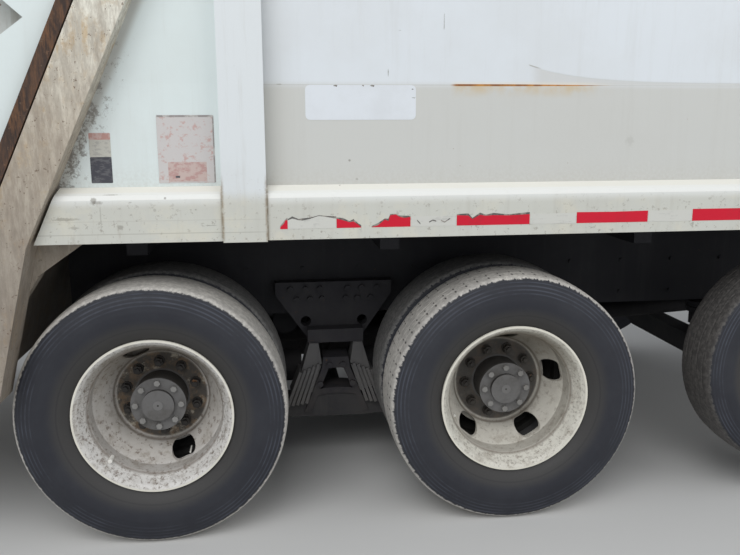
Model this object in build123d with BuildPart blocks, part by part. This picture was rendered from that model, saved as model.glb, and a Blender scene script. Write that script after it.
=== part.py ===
from build123d import *
from math import atan2, cos, degrees, radians, sin, sqrt, tan
import os

# Rear-loading refuse truck, in millimetres. +X is forward, +Y is the truck's left,
# +Z is up. The origin is on the ground below the middle of the truck's length and width.

# Lengths along the truck
front_overhang = 1300
wheelbase = 5150
tandem_spacing = 1400
rear_overhang = 2400
pusher_gap = 1280
overall_length = front_overhang + wheelbase + tandem_spacing / 2 + rear_overhang

bumper_x = overall_length / 2
front_axle_x = bumper_x - front_overhang
axle_b_x = front_axle_x - wheelbase + tandem_spacing / 2
axle_a_x = axle_b_x - tandem_spacing
pusher_x = axle_b_x + pusher_gap
rear_x = -overall_length / 2
suspension_x = (axle_a_x + axle_b_x) / 2 + 38

# Running clearances
moving_gap = 8
pin_gap = 0.25
bearing_gap = 0.25
seat_gap = 0.2
seam_gap = 6

# Tyres and wheels
tyre_radius = 506
tyre_width = 279
pusher_tyre_radius = 465
pusher_tyre_width = 255
pusher_lift = 120
rim_seat_radius = 286
rim_flange_radius = 298.5
rim_well_radius = 258
rim_half_width = 113
rim_wall = 8
rim_lip = 8
disc_wall = 11
disc_flat_radius = 190
dual_spacing = 318
dual_mid_y = 921
front_inset = 150
front_mount_y = 1170
pusher_outset = 130
pusher_mount_y = 940
hand_hole_circle = 220
hand_hole_size = (100, 56)
hub_radius = 103
hub_flange_radius = 107
hub_cap_radius = 62
drum_radius = 214
drum_depth = 190
spindle_radius = 45
spindle_entry = 120

# Ladder frame and subframe
rail_outer_y = 430
rail_flange = 80
rail_web = 12
rail_bottom_z = 706
rail_top_z = 976
subframe_width = 90
bearer_half = 900

# Body
floor_z = 1200
floor_wall = 25
wall_y = 1200
wall = 25
wall_bulge = 12
seam_z = 1720
shoulder_z = 3150
shoulder_radius = 150
roof_z = shoulder_z + shoulder_radius
body_length_on_floor = 5300
sill_bottom_z = 1175
sill_top_z = 1366
sill_bevel_z = 1325
sill_y = 1259
sill_end_gap = 12
post_y = 1270
post_rear_x = axle_a_x + 290
post_width = 155
post_foot_z = 1171

# Slanted rear frame, where the body ends and the tailgate begins
lean_deg = 25
foot_lean_deg = 14
kink_z = 1170
column_kink_x = axle_a_x - 367
column_width = 160
column_outer_y = 1300
column_depth = 150
rear_foot_z = 620
gusset_y = 1150

# Tailgate
gate_strip = 50
gate_box_y = 1265
hopper_y = 1120
inner_plate = 30
gate_roof_z = 3290
hinge_z = 3370
hinge_pin_radius = 20
horn_radius = 309
horn_deg = 150
notch_apex = (axle_a_x - 323, 1924)

# Packer
hopper_centre = (axle_a_x - 1384, 1480)
hopper_radius = 870
hopper_sheet = 12
sill_depth = 70
blade_gap = 20
track_deg = 40
packer_travel = 800
carriage_length = 930
carriage_thick = 120
blade_closed_deg = 25
blade_tube_radius = 62
packer_pin_radius = 35

# Cab
cab_half_width = 1150
cab_wall = 45
cab_front_x = bumper_x - 100
cab_back_x = bumper_x - 1900
cab_roof_z = 2850
cab_foot_z = 770
cab_deck_z = 1200
cab_hinge = (cab_front_x - 110, 830)
door_front_x = cab_front_x - 190
door_rear_x = cab_front_x - 860
arch_front_x = front_axle_x + 630
cab_tunnel_y = 460
cab_tunnel_z = 1010
cab_pin_radius = 18
door_gap = 6
door_hinge_x = door_front_x - 100
door_barrel_radius = 14
belt_z = 1830
glass_fit = 0.2
glass_thick = 6
grille_half = 620
grille_z = (1180, 1560)
grille_depth = 22
lamp_size = (230, 130)
lamp_depth = 25
lamp_mid = (900, 560)
stack_centre = (2716, 640)


def column_front(z):
    """X of the column's front face at height z."""
    lean = lean_deg if z > kink_z else foot_lean_deg
    return column_kink_x + (z - kink_z) * tan(radians(lean))


def seam(z):
    """X of the parting plane between body and tailgate at height z."""
    return column_front(z) - column_width


def polar(centre, radius, angle):
    """Point at a radius and an angle in degrees round a centre, in a side view."""
    return (
        centre[0] + radius * cos(radians(angle)),
        centre[1] + radius * sin(radians(angle)),
    )


def block(x, y, z, mode=Mode.ADD):
    """A box that fills three (low, high) ranges."""
    with Locations(((x[0] + x[1]) / 2, (y[0] + y[1]) / 2, (z[0] + z[1]) / 2)):
        Box(x[1] - x[0], y[1] - y[0], z[1] - z[0], mode=mode)


def side_plate(points, y_low, y_high, mode=Mode.ADD):
    """A plate with an outline in the side view, from y_low to y_high."""
    with BuildSketch(Plane.XZ.offset(-y_high)) as outline:
        with BuildLine():
            Polyline(*points, close=True)
        make_face()
    extrude(outline.sketch, amount=y_high - y_low, mode=mode)


def end_plate(points, x_low, x_high, mode=Mode.ADD):
    """A plate with an outline in the end view, from x_low to x_high."""
    with BuildSketch(Plane.YZ.offset(x_low)) as outline:
        with BuildLine():
            Polyline(*points, close=True)
        make_face()
    extrude(outline.sketch, amount=x_high - x_low, mode=mode)


def cross_bar(centre, radius, y_low, y_high, mode=Mode.ADD):
    """A round bar along Y through a point of the side view."""
    with BuildSketch(Plane.XZ.offset(-y_high)) as ring:
        with Locations(centre):
            Circle(radius)
    extrude(ring.sketch, amount=y_high - y_low, mode=mode)


def rod_between(start, end, y, radius, mode=Mode.ADD):
    """A round bar in the side view's plane from start to end, both (x, z)."""
    along = Vector(end[0] - start[0], 0, end[1] - start[1])
    with BuildSketch(Plane((start[0], y, start[1]), z_dir=along)) as ring:
        Circle(radius)
    extrude(ring.sketch, amount=along.length, mode=mode)


def finish(part, name):
    """Label a finished piece and write its file."""
    part.label = name
    export_step(part, f"parts/{name}.step")


os.makedirs("parts", exist_ok=True)

# Wheels. Across an axle, s is the distance outboard of the wheel disc's mounting face.


def tyre_outline(middle, radius, width):
    """Section of one tyre in (s, r), centred on s = middle."""
    half = width / 2
    sidewall = radius - rim_seat_radius
    bead = (middle + rim_half_width - 15, rim_seat_radius + 0.05)
    rim_edge = (middle + rim_half_width - 12.5, rim_flange_radius + 2)
    waist = (middle + half, rim_seat_radius + sidewall * 0.48)
    shoulder = (middle + half * 0.92, radius - sidewall * 0.13)
    tread_edge = (middle + half * 0.80, radius - 6)
    crown = (middle, radius)

    def other(point):
        return (2 * middle - point[0], point[1])

    Line(bead, rim_edge)
    ThreePointArc(rim_edge, waist, shoulder)
    Line(shoulder, tread_edge)
    ThreePointArc(tread_edge, crown, other(tread_edge))
    Line(other(tread_edge), other(shoulder))
    ThreePointArc(other(shoulder), other(waist), other(rim_edge))
    Polyline(other(rim_edge), other(bead), bead)


def rim_outline(middle):
    """Closed section of one rim in (s, r), its deep side away from the mounting face."""
    half = rim_half_width
    face = 1 if middle > 0 else -1
    outer = [
        (half, rim_flange_radius),
        (half - 10, rim_flange_radius),
        (half - 12, rim_seat_radius),
        (half - 38, rim_seat_radius - 2),
        (half - 76, rim_well_radius),
        (-half + 70, rim_well_radius),
        (-half + 40, rim_seat_radius - 2),
        (-half + 12, rim_seat_radius),
        (-half + 10, rim_flange_radius),
        (-half, rim_flange_radius),
    ]
    inner = [
        (-half, rim_seat_radius - rim_wall),
        (-half + 38, rim_seat_radius - rim_wall - 2),
        (-half + 66, rim_well_radius - rim_wall),
        (half - 74, rim_well_radius - rim_wall),
        (half - 14, rim_seat_radius - rim_wall),
        (half, rim_flange_radius - rim_lip),
    ]
    return [(middle + face * s, r) for s, r in outer + inner]


def disc_outline(middle):
    """Dished wheel disc in (s, r): a flat on the mounting face, then a bowl that
    meets the rim's well."""
    face = 1 if middle > 0 else -1
    rim_r = rim_well_radius - rim_wall / 2
    weld_s = abs(middle) - rim_half_width + 82
    points = [
        (0, hub_radius - 20),
        (0, disc_flat_radius),
        (weld_s - disc_wall, rim_r),
        (weld_s + disc_wall, rim_r),
        (disc_wall, disc_flat_radius - 6),
        (disc_wall, hub_radius - 20),
    ]
    return [(face * s, r) for s, r in points]


def revolve_section(points, centre, outboard):
    """Turn a closed (s, r) outline about the axle through centre."""
    axle = Plane(centre, x_dir=(0, outboard, 0), z_dir=(1, 0, 0))
    with BuildSketch(axle) as section:
        with BuildLine():
            Polyline(*points, close=True)
        make_face()
    revolve(section.sketch, axis=Axis(centre, (0, 1, 0)))


def hand_holes(centre, outboard, count, first_deg):
    """The holes through the bowls of an axle end's wheel discs."""
    face = Plane(centre, x_dir=(1, 0, 0), z_dir=(0, outboard, 0)).offset(-dual_spacing / 2)
    with BuildSketch(face) as holes:
        with PolarLocations(hand_hole_circle, count, start_angle=first_deg):
            SlotOverall(hand_hole_size[0], hand_hole_size[1], rotation=90)
    extrude(holes.sketch, amount=dual_spacing, mode=Mode.SUBTRACT)


def turned(centre, outboard, s_low, s_high, radius, mode=Mode.ADD):
    """A plain turned length of an axle, hub or drum."""
    face = Plane(centre, x_dir=(1, 0, 0), z_dir=(0, outboard, 0)).offset(s_low)
    with BuildSketch(face) as ring:
        Circle(radius)
    extrude(ring.sketch, amount=s_high - s_low, mode=mode)


# Columns: name, axle x, axle z, mounting face y, middles of its rims, tyre radius,
# tyre width, hub end s, number of hand holes, angle of the first one
twin_rims = (dual_spacing / 2, -dual_spacing / 2)
lifted_z = pusher_tyre_radius + pusher_lift
lifted_radius, lifted_width = pusher_tyre_radius, pusher_tyre_width
wheel_table = (
    ("rear_a", axle_a_x, tyre_radius, dual_mid_y, twin_rims, tyre_radius, tyre_width, 146, 2, -68),
    ("rear_b", axle_b_x, tyre_radius, dual_mid_y, twin_rims, tyre_radius, tyre_width, 146, 5, 14),
    ("pusher", pusher_x, lifted_z, pusher_mount_y, (pusher_outset,), lifted_radius, lifted_width, 90, 5, 30),
    ("front", front_axle_x, tyre_radius, front_mount_y, (-front_inset,), tyre_radius, tyre_width, 80, 5, 10),
)

for side, outboard in (("right", -1), ("left", 1)):
    for row in wheel_table:
        name, axle_x, axle_z, mount_y, middles, radius, width, hub_end, hole_count, hole_deg = row
        mount = (axle_x, outboard * mount_y, axle_z)
        axle_line = Plane(mount, x_dir=(0, outboard, 0), z_dir=(1, 0, 0))
        with BuildPart() as tyres:
            for middle in middles:
                with BuildSketch(axle_line) as section:
                    with BuildLine():
                        tyre_outline(middle, radius, width)
                    make_face()
                revolve(section.sketch, axis=Axis(mount, (0, 1, 0)))
        finish(tyres.part, f"tyres_{name}_{side}")

        drum_s = -disc_wall
        drum_back_s = drum_s - drum_depth
        with BuildPart() as wheels:
            for middle in middles:
                revolve_section(rim_outline(middle), mount, outboard)
                revolve_section(disc_outline(middle), mount, outboard)
            hand_holes(mount, outboard, hole_count, hole_deg)
            turned(mount, outboard, drum_back_s, drum_s, drum_radius)
            turned(mount, outboard, drum_s, hub_end - 32, hub_radius)
            turned(mount, outboard, hub_end - 32, hub_end - 17, hub_flange_radius)
            turned(mount, outboard, hub_end - 17, hub_end, hub_cap_radius)
            bore_radius = spindle_radius + bearing_gap
            turned(mount, outboard, drum_back_s, drum_back_s + spindle_entry, bore_radius, Mode.SUBTRACT)
        finish(wheels.part, f"wheels_{name}_{side}")

# Running gear

axle_end_y = dual_mid_y - disc_wall - drum_depth
spindle_tip_y = axle_end_y + spindle_entry - 2
beam_y = (450, 570)
beam_eye_z = 305
beam_eye_radius = 62
beam_crown_z = 352
chamber_mid_y = 355
chamber_z = 430
chamber_radius = 78
chamber_reach = (240, 585)

with BuildPart() as drive_axles:
    for axle_x in (axle_a_x, axle_b_x):
        centre = (axle_x, 0, tyre_radius)
        turned(centre, 1, -axle_end_y + 1, axle_end_y - 1, 72)
        turned(centre, 1, -spindle_tip_y, spindle_tip_y, spindle_radius)
        turned(centre, 1, -150, 150, 190)
        for y_side in (-1, 1):
            mid_y = y_side * (beam_y[0] + beam_y[1]) / 2
            stem_z = (beam_eye_z + beam_eye_radius, tyre_radius - 40)
            block((axle_x - 60, axle_x + 60), (mid_y - 20, mid_y + 20), stem_z)
    # Brake chambers on arms that reach from each axle towards the suspension's middle
    for axle_x, inward in ((axle_a_x, 1), (axle_b_x, -1)):
        for y_side in (-1, 1):
            chamber_y = y_side * chamber_mid_y
            near_x, far_x = axle_x + inward * chamber_reach[0], axle_x + inward * chamber_reach[1]
            arm_x = sorted((axle_x, near_x + inward * 10))
            block(arm_x, (chamber_y - 12, chamber_y + 12), (chamber_z - 20, chamber_z + 40))
            rod_between((near_x, chamber_z), (far_x, chamber_z), chamber_y, chamber_radius)
            clamp_x = (near_x + far_x) / 2
            rod_between((clamp_x - 12, chamber_z), (clamp_x + 12, chamber_z), chamber_y, chamber_radius + 7)
    gearbox_tail = (front_axle_x - 883, 715)
    for start, end in (
        ((axle_a_x, tyre_radius), (axle_b_x, tyre_radius)),
        ((axle_b_x, tyre_radius), gearbox_tail),
    ):
        rod_between(start, end, 0, 48)
finish(drive_axles.part, "drive_axles")

# Walking beams: fish-bellied boxes from one drive axle to the other, with a domed middle
beam_crown_half = 130
beam_crown_rise = 22
cross_tube_z = 292
cross_tube_radius = 46
beam_crown_radius = (beam_crown_half**2 + beam_crown_rise**2) / (2 * beam_crown_rise)
with BuildPart() as equalizer_beams:
    crown_z = beam_crown_z - beam_crown_rise
    with BuildSketch(Plane.XZ.offset(-beam_y[1])) as outline:
        with BuildLine():
            Line((axle_a_x, beam_eye_z + 38), (suspension_x - beam_crown_half, crown_z))
            ThreePointArc(
                (suspension_x - beam_crown_half, crown_z),
                (suspension_x, beam_crown_z),
                (suspension_x + beam_crown_half, crown_z),
            )
            Polyline(
                (suspension_x + beam_crown_half, crown_z),
                (axle_b_x, beam_eye_z + 38),
                (axle_b_x, beam_eye_z - 38),
                (suspension_x + 120, 238),
                (suspension_x - 120, 238),
                (axle_a_x, beam_eye_z - 38),
                (axle_a_x, beam_eye_z + 38),
            )
        make_face()
    extrude(outline.sketch, amount=beam_y[1] - beam_y[0])
    for axle_x in (axle_a_x, axle_b_x):
        cross_bar((axle_x, beam_eye_z), beam_eye_radius, *beam_y)
    mirror(about=Plane.XZ)
    # Tube that keeps the two beams in line
    cross_bar((suspension_x, cross_tube_z), cross_tube_radius, -beam_y[0] - 1, beam_y[0] + 1)
finish(equalizer_beams.part, "equalizer_beams")

hanger_y = (rail_outer_y, 500)
hanger_top_z = 866
hanger_foot_z = 596
saddle_crown_z = 526
saddle_plate = 10
with BuildPart() as hangers:
    outline = [
        (suspension_x - 270, hanger_top_z),
        (suspension_x + 270, hanger_top_z),
        (suspension_x + 270, hanger_top_z - 60),
        (suspension_x + 122, hanger_foot_z),
        (suspension_x - 122, hanger_foot_z),
        (suspension_x - 270, hanger_top_z - 60),
    ]
    side_plate(outline, *hanger_y)
    cross_bar((suspension_x, hanger_foot_z - 45), 75, *hanger_y, mode=Mode.SUBTRACT)
    for offset in (-132, 132):
        cross_bar((suspension_x + offset, 681), 24, *hanger_y, mode=Mode.SUBTRACT)
    block((suspension_x - 128, suspension_x + 128), (hanger_y[1], 575), (hanger_foot_z, hanger_foot_z + 62))
    # Saddles: a neck, two spread straps on each side and an arched cap on the beam
    saddle_y = (beam_y[0] - seat_gap, beam_y[1] + seat_gap)
    neck_z = 474
    neck = [
        (suspension_x - 58, saddle_crown_z),
        (suspension_x + 58, saddle_crown_z),
        (suspension_x + 66, neck_z),
        (suspension_x - 66, neck_z),
    ]
    side_plate(neck, saddle_y[0] - saddle_plate, saddle_y[1] + saddle_plate)
    for end in (-1, 1):
        strap = [
            (suspension_x + end * 66, neck_z),
            (suspension_x + end * 34, neck_z),
            (suspension_x + end * 120, 262),
            (suspension_x + end * 150, 262),
        ]
        side_plate(strap, saddle_y[0] - saddle_plate, saddle_y[0])
        side_plate(strap, saddle_y[1], saddle_y[1] + saddle_plate)
    arch_z = beam_crown_z - beam_crown_radius
    with BuildSketch(Plane.XZ.offset(-saddle_y[1] - saddle_plate)) as cap:
        with Locations((suspension_x, arch_z)):
            Circle(beam_crown_radius + 28)
            Circle(beam_crown_radius + seat_gap, mode=Mode.SUBTRACT)
        with Locations((suspension_x, beam_crown_z + 10)):
            Rectangle(190, 70, mode=Mode.INTERSECT)
    extrude(cap.sketch, amount=saddle_y[1] - saddle_y[0] + 2 * saddle_plate)
    mirror(about=Plane.XZ)
finish(hangers.part, "suspension_brackets")

# Bolster springs: inclined stacks of plates between hanger and saddle
bolster_plates = 5
bolster_pitch = 21
bolster_y = (470, 600)
with BuildPart() as bolsters:
    for end in (-1, 1):
        for index in range(bolster_plates):
            shift = end * (74 + index * bolster_pitch)
            drop = index * 9
            outline = [
                (suspension_x + shift, 498 - drop),
                (suspension_x + shift + end * 13, 502 - drop),
                (suspension_x + shift + end * 74, 316 - drop / 3),
                (suspension_x + shift + end * 61, 310 - drop / 3),
            ]
            side_plate(outline, *bolster_y)
        core = [
            (suspension_x + end * 68, 490),
            (suspension_x + end * 170, 452),
            (suspension_x + end * 196, 392),
            (suspension_x + end * 112, 362),
        ]
        side_plate(core, bolster_y[0] + 10, bolster_y[1] - 14)
        cap = [
            (suspension_x + end * 66, 498),
            (suspension_x + end * 160, 462),
            (suspension_x + end * 122, hanger_foot_z),
            (suspension_x + end * 80, hanger_foot_z),
        ]
        side_plate(cap, bolster_y[0] + 10, bolster_y[1] - 14)
    block(
        (suspension_x - 250, suspension_x + 250),
        (beam_y[0] - seat_gap, beam_y[1] + seat_gap),
        (200, 356),
        mode=Mode.SUBTRACT,
    )
    mirror(about=Plane.XZ)
finish(bolsters.part, "bolster_springs")

# Lift axle, carried clear of the ground
pusher_end_y = pusher_mount_y - disc_wall - drum_depth
pusher_z = pusher_tyre_radius + pusher_lift
with BuildPart() as pusher_suspension:
    centre = (pusher_x, 0, pusher_z)
    tip_y = pusher_end_y + spindle_entry - 2
    for outboard in (-1, 1):
        turned(centre, outboard, pusher_end_y - 130, pusher_end_y - 1, 62)
        turned(centre, outboard, pusher_end_y - 2, tip_y, spindle_radius)
    drop = [
        (-pusher_end_y + 20, pusher_z + 55),
        (-320, pusher_z - 95),
        (320, pusher_z - 95),
        (pusher_end_y - 20, pusher_z + 55),
        (pusher_end_y - 20, pusher_z - 55),
        (320, pusher_z - 200),
        (-320, pusher_z - 200),
        (-pusher_end_y + 20, pusher_z - 55),
    ]
    end_plate(drop, pusher_x - 55, pusher_x + 55)
    for y_low in (-415, 345):
        block((pusher_x - 45, pusher_x + 45), (y_low, y_low + 70), (pusher_z - 120, pusher_z))
        arm = [
            (pusher_x - 80, pusher_z - 20),
            (pusher_x + 60, pusher_z - 20),
            (pusher_x + 540, pusher_z + 20),
            (pusher_x + 540, rail_bottom_z),
            (pusher_x + 420, rail_bottom_z),
            (pusher_x + 400, pusher_z + 50),
            (pusher_x - 80, pusher_z + 40),
        ]
        side_plate(arm, y_low, y_low + 70)
        for z_low in (pusher_z + 48, pusher_z + 78):
            with BuildSketch(Plane.XY.offset(z_low)) as lobe:
                with Locations((pusher_x, y_low + 35)):
                    Circle(105)
            extrude(lobe.sketch, amount=26)
        with BuildSketch(Plane.XY.offset(pusher_z + 40)) as neck:
            with Locations((pusher_x, y_low + 35)):
                Circle(45)
        extrude(neck.sketch, amount=rail_bottom_z - pusher_z - 40)
finish(pusher_suspension.part, "pusher_suspension")

# Steering front axle. The kingpins stand in the beam's eyes and the knuckles turn on them.
kingpin_y = 860
kingpin_radius = 22
knuckle_gap = 2
beam_eye_half = 60
with BuildPart() as front_axle:
    drop_z = tyre_radius - 70
    beam = [
        (-kingpin_y, tyre_radius - 45),
        (-kingpin_y, tyre_radius + 45),
        (-640, drop_z + 35),
        (640, drop_z + 35),
        (kingpin_y, tyre_radius + 45),
        (kingpin_y, tyre_radius - 45),
        (kingpin_y - 90, tyre_radius - 45),
        (620, drop_z - 55),
        (-620, drop_z - 55),
        (90 - kingpin_y, tyre_radius - 45),
    ]
    end_plate(beam, front_axle_x - 45, front_axle_x + 45)
    for y_side in (-1, 1):
        with BuildSketch(Plane.XY.offset(tyre_radius - beam_eye_half)) as eye:
            with Locations((front_axle_x, y_side * kingpin_y)):
                Circle(50)
        extrude(eye.sketch, amount=2 * beam_eye_half)
        with BuildSketch(Plane.XY.offset(tyre_radius - beam_eye_half)) as bore:
            with Locations((front_axle_x, y_side * kingpin_y)):
                Circle(kingpin_radius + pin_gap)
        extrude(bore.sketch, amount=2 * beam_eye_half, mode=Mode.SUBTRACT)

    # Leaf springs, clamped to the beam and hung from the frame
    spring_half = 700
    for index in range(3):
        half = spring_half - index * 170
        z_low = tyre_radius + 10 + index * 13
        rise = 60 * (half / spring_half) ** 2
        leaf = [
            (front_axle_x - half, z_low + rise),
            (front_axle_x, z_low),
            (front_axle_x + half, z_low + rise),
            (front_axle_x + half, z_low + 13 + rise),
            (front_axle_x, z_low + 13),
            (front_axle_x - half, z_low + 13 + rise),
        ]
        side_plate(leaf, 350, 425)
    for end in (-1, 1):
        tip = front_axle_x + end * spring_half
        block((tip - 40, tip + 40), (352, 423), (tyre_radius + 68, rail_bottom_z))
    block((front_axle_x - 70, front_axle_x + 70), (345, 429), (drop_z, tyre_radius + 60))
    mirror(about=Plane.XZ)
finish(front_axle.part, "front_axle")

knuckle_back_y = front_mount_y - disc_wall - drum_depth
arm_reach = 210
tie_end_y = kingpin_y - 60
arm_z = (tyre_radius - 150, tyre_radius - 122)
for side, outboard in (("right", -1), ("left", 1)):
    with BuildPart() as knuckle:
        inner_y = kingpin_y + 56
        outer_y = knuckle_back_y - 1
        y_pair = sorted((outboard * inner_y, outboard * outer_y))
        lug_y = sorted((outboard * (kingpin_y - 46), outboard * outer_y))
        low_z = tyre_radius - beam_eye_half - knuckle_gap
        high_z = tyre_radius + beam_eye_half + knuckle_gap
        block((front_axle_x - 60, front_axle_x + 60), y_pair, (low_z - 60, high_z + 40))
        block((front_axle_x - 46, front_axle_x + 46), lug_y, (high_z, high_z + 40))
        block((front_axle_x - 46, front_axle_x + 46), lug_y, (low_z - 60, low_z))
        with BuildSketch(Plane.XY.offset(low_z)) as pin:
            with Locations((front_axle_x, outboard * kingpin_y)):
                Circle(kingpin_radius)
        extrude(pin.sketch, amount=high_z - low_z)
        centre = (front_axle_x, 0, tyre_radius)
        turned(centre, outboard, outer_y - 2, knuckle_back_y + spindle_entry - 2, spindle_radius)
        with BuildSketch(Plane.XY.offset(arm_z[0])) as arm:
            with BuildLine():
                Polyline(
                    (front_axle_x + 40, outboard * (kingpin_y - 24)),
                    (front_axle_x + 40, outboard * (kingpin_y + 24)),
                    (front_axle_x - 40, outboard * (kingpin_y + 24)),
                    (front_axle_x - arm_reach - 26, outboard * (tie_end_y + 22)),
                    (front_axle_x - arm_reach - 26, outboard * (tie_end_y - 22)),
                    close=True,
                )
            make_face()
        extrude(arm.sketch, amount=arm_z[1] - arm_z[0])
        neck_y = sorted((outboard * (kingpin_y - 24), outboard * (kingpin_y + 24)))
        block((front_axle_x - 40, front_axle_x + 40), neck_y, (arm_z[1], low_z - 50))
    finish(knuckle.part, f"knuckle_{side}")

tie_rod_z = arm_z[1] + 24
with BuildPart() as tie_rod:
    cross_bar((front_axle_x - arm_reach, tie_rod_z), 19, -tie_end_y, tie_end_y)
    for y_side in (-1, 1):
        with BuildSketch(Plane.XY.offset(arm_z[1] + 0.5)) as ball:
            with Locations((front_axle_x - arm_reach, y_side * tie_end_y)):
                Circle(24)
        extrude(ball.sketch, amount=44)
finish(tie_rod.part, "tie_rod")

# Ladder frame
rail_rear_x = column_front(rail_bottom_z) + 30
rail_front_x = bumper_x - 150
# Columns: distance of each crossmember ahead of the rear axle
crossmember_ahead = (-280, 470, 1960, 3300, 4500)
reservoir_radius = 62
reservoir_half = 300
with BuildPart() as frame_rails:
    channel = [
        (rail_outer_y, rail_bottom_z),
        (rail_outer_y, rail_top_z),
        (rail_outer_y - rail_flange, rail_top_z),
        (rail_outer_y - rail_flange, rail_top_z - rail_web),
        (rail_outer_y - rail_web, rail_top_z - rail_web),
        (rail_outer_y - rail_web, rail_bottom_z + rail_web),
        (rail_outer_y - rail_flange, rail_bottom_z + rail_web),
        (rail_outer_y - rail_flange, rail_bottom_z),
    ]
    end_plate(channel, rail_rear_x, rail_front_x)
    # Cab hinge pins on the rails' front ends and posts below the cab's rear
    cross_bar(cab_hinge, cab_pin_radius, rail_outer_y - rail_web, cab_tunnel_y + cab_wall - 8)
    post_x = (cab_back_x + 20, cab_back_x + 100)
    block(post_x, (rail_outer_y - 70, rail_outer_y), (rail_top_z, cab_deck_z - 0.3))
    mirror(about=Plane.XZ)
    reach = rail_outer_y - rail_web
    for ahead in crossmember_ahead:
        x_low = axle_a_x + ahead
        block((x_low, x_low + 90), (-reach, reach), (rail_bottom_z + 40, rail_bottom_z + 50))
        block((x_low, x_low + 10), (-reach, reach), (rail_bottom_z + 50, rail_top_z - 50))
        block((x_low, x_low + 90), (-reach, reach), (rail_top_z - 50, rail_top_z - 40))
    block((rail_front_x - 60, rail_front_x), (-reach, reach), (rail_bottom_z, rail_bottom_z + 120))
    # Air reservoir, slung across below the second crossmember
    reservoir = (axle_a_x + crossmember_ahead[1] + 45, rail_bottom_z - 70)
    cross_bar(reservoir, reservoir_radius, -reservoir_half, reservoir_half)
    for strap_y in (-180, 180):
        strap_z = (reservoir[1] + reservoir_radius - 12, rail_bottom_z + 42)
        block((reservoir[0] - 25, reservoir[0] + 25), (strap_y - 20, strap_y + 20), strap_z)
finish(frame_rails.part, "ladder_frame")

body_front_x = axle_a_x - 367 + body_length_on_floor
# Engine and gearbox as one plain block under the cab
with BuildPart() as engine:
    block((front_axle_x - 620, front_axle_x + 560), (-320, 320), (640, 1130))
    block((front_axle_x - 880, front_axle_x - 620), (-200, 200), (680, 960))
finish(engine.part, "engine_block")

# Body


def column_height(x):
    """Height at which the column's front face passes x."""
    return kink_z + (x - column_kink_x) / tan(radians(lean_deg))


def trim_to(line, z_low, z_high, y_reach):
    """Cut away what lies behind a slanted line of the side view."""
    back = rear_x - 500
    side_plate(
        [(line(z_low), z_low), (line(z_high), z_high), (back, z_high), (back, z_low)],
        -y_reach,
        y_reach,
        mode=Mode.SUBTRACT,
    )


hinge_x = seam(roof_z) + 30
lift_y = 955
lift_pin_radius = 20
lift_anchor = (hinge_x + 1600, roof_z + 130)

with BuildPart() as body_sides:
    with BuildSketch(Plane.YZ.offset(rear_x)) as section:
        with BuildLine():
            Polyline((wall_y, shoulder_z), (wall_y - wall, shoulder_z), (wall_y - wall, floor_z - floor_wall))
            Polyline((wall_y - wall, floor_z - floor_wall), (wall_y, floor_z - floor_wall), (wall_y, seam_z))
            ThreePointArc(
                (wall_y, seam_z),
                (wall_y + wall_bulge, (seam_z + shoulder_z) / 2),
                (wall_y, shoulder_z),
            )
        make_face()
    extrude(section.sketch, amount=body_front_x - rear_x)
    trim_to(column_front, kink_z, roof_z, 1500)
    mirror(about=Plane.XZ)
finish(body_sides.part, "body_sides")

with BuildPart() as body_roof:
    with BuildSketch(Plane.YZ.offset(rear_x)) as section:
        inner = shoulder_radius - wall
        edge = wall_y - shoulder_radius
        with BuildLine():
            RadiusArc((wall_y, shoulder_z), (edge, roof_z), -shoulder_radius)
            Line((edge, roof_z), (-edge, roof_z))
            RadiusArc((-edge, roof_z), (-wall_y, shoulder_z), -shoulder_radius)
            Line((-wall_y, shoulder_z), (-wall_y + wall, shoulder_z))
            RadiusArc((-wall_y + wall, shoulder_z), (-edge, roof_z - wall), inner)
            Line((-edge, roof_z - wall), (edge, roof_z - wall))
            RadiusArc((edge, roof_z - wall), (wall_y - wall, shoulder_z), inner)
            Line((wall_y - wall, shoulder_z), (wall_y, shoulder_z))
        make_face()
    extrude(section.sketch, amount=body_front_x - rear_x)
    trim_to(column_front, kink_z, roof_z + 100, 1500)
    for ahead in (1300, 2500, 3500, 4400):
        block((axle_a_x + ahead, axle_a_x + ahead + 60), (-edge, edge), (roof_z, roof_z + 22))
    # Ears and pins that hold the tailgate's lift cylinders
    for y_mid in (-lift_y, lift_y):
        for y_low in (y_mid - 44, y_mid + 26):
            ear = [
                (lift_anchor[0] - 50, roof_z),
                (lift_anchor[0] - 30, lift_anchor[1] + 34),
                (lift_anchor[0] + 30, lift_anchor[1] + 34),
                (lift_anchor[0] + 110, roof_z),
            ]
            side_plate(ear, y_low, y_low + 18)
        cross_bar(lift_anchor, lift_pin_radius, y_mid - 44, y_mid + 44)
finish(body_roof.part, "body_roof")

with BuildPart() as body_floor:
    floor_under_z = floor_z - floor_wall
    block((rear_x, body_front_x), (-wall_y + wall, wall_y - wall), (floor_under_z, floor_z))
    trim_to(column_front, floor_under_z - 1, floor_z + 1, 1500)
    # Long sills on the rails and bearers across them
    for y_low in (-rail_outer_y, rail_outer_y - subframe_width):
        block((rail_rear_x, body_front_x), (y_low, y_low + subframe_width), (rail_top_z, floor_under_z))
    for ahead in (-110, 900, 2000, 3100, 4200):
        x_low = axle_a_x + ahead
        block((x_low, x_low + 80), (-bearer_half, bearer_half), (floor_under_z - 100, floor_under_z))
    # Front bulkhead
    inner_y = wall_y - wall
    block((body_front_x - 40, body_front_x), (-inner_y, inner_y), (floor_z, shoulder_z))
finish(body_floor.part, "body_floor")

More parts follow.
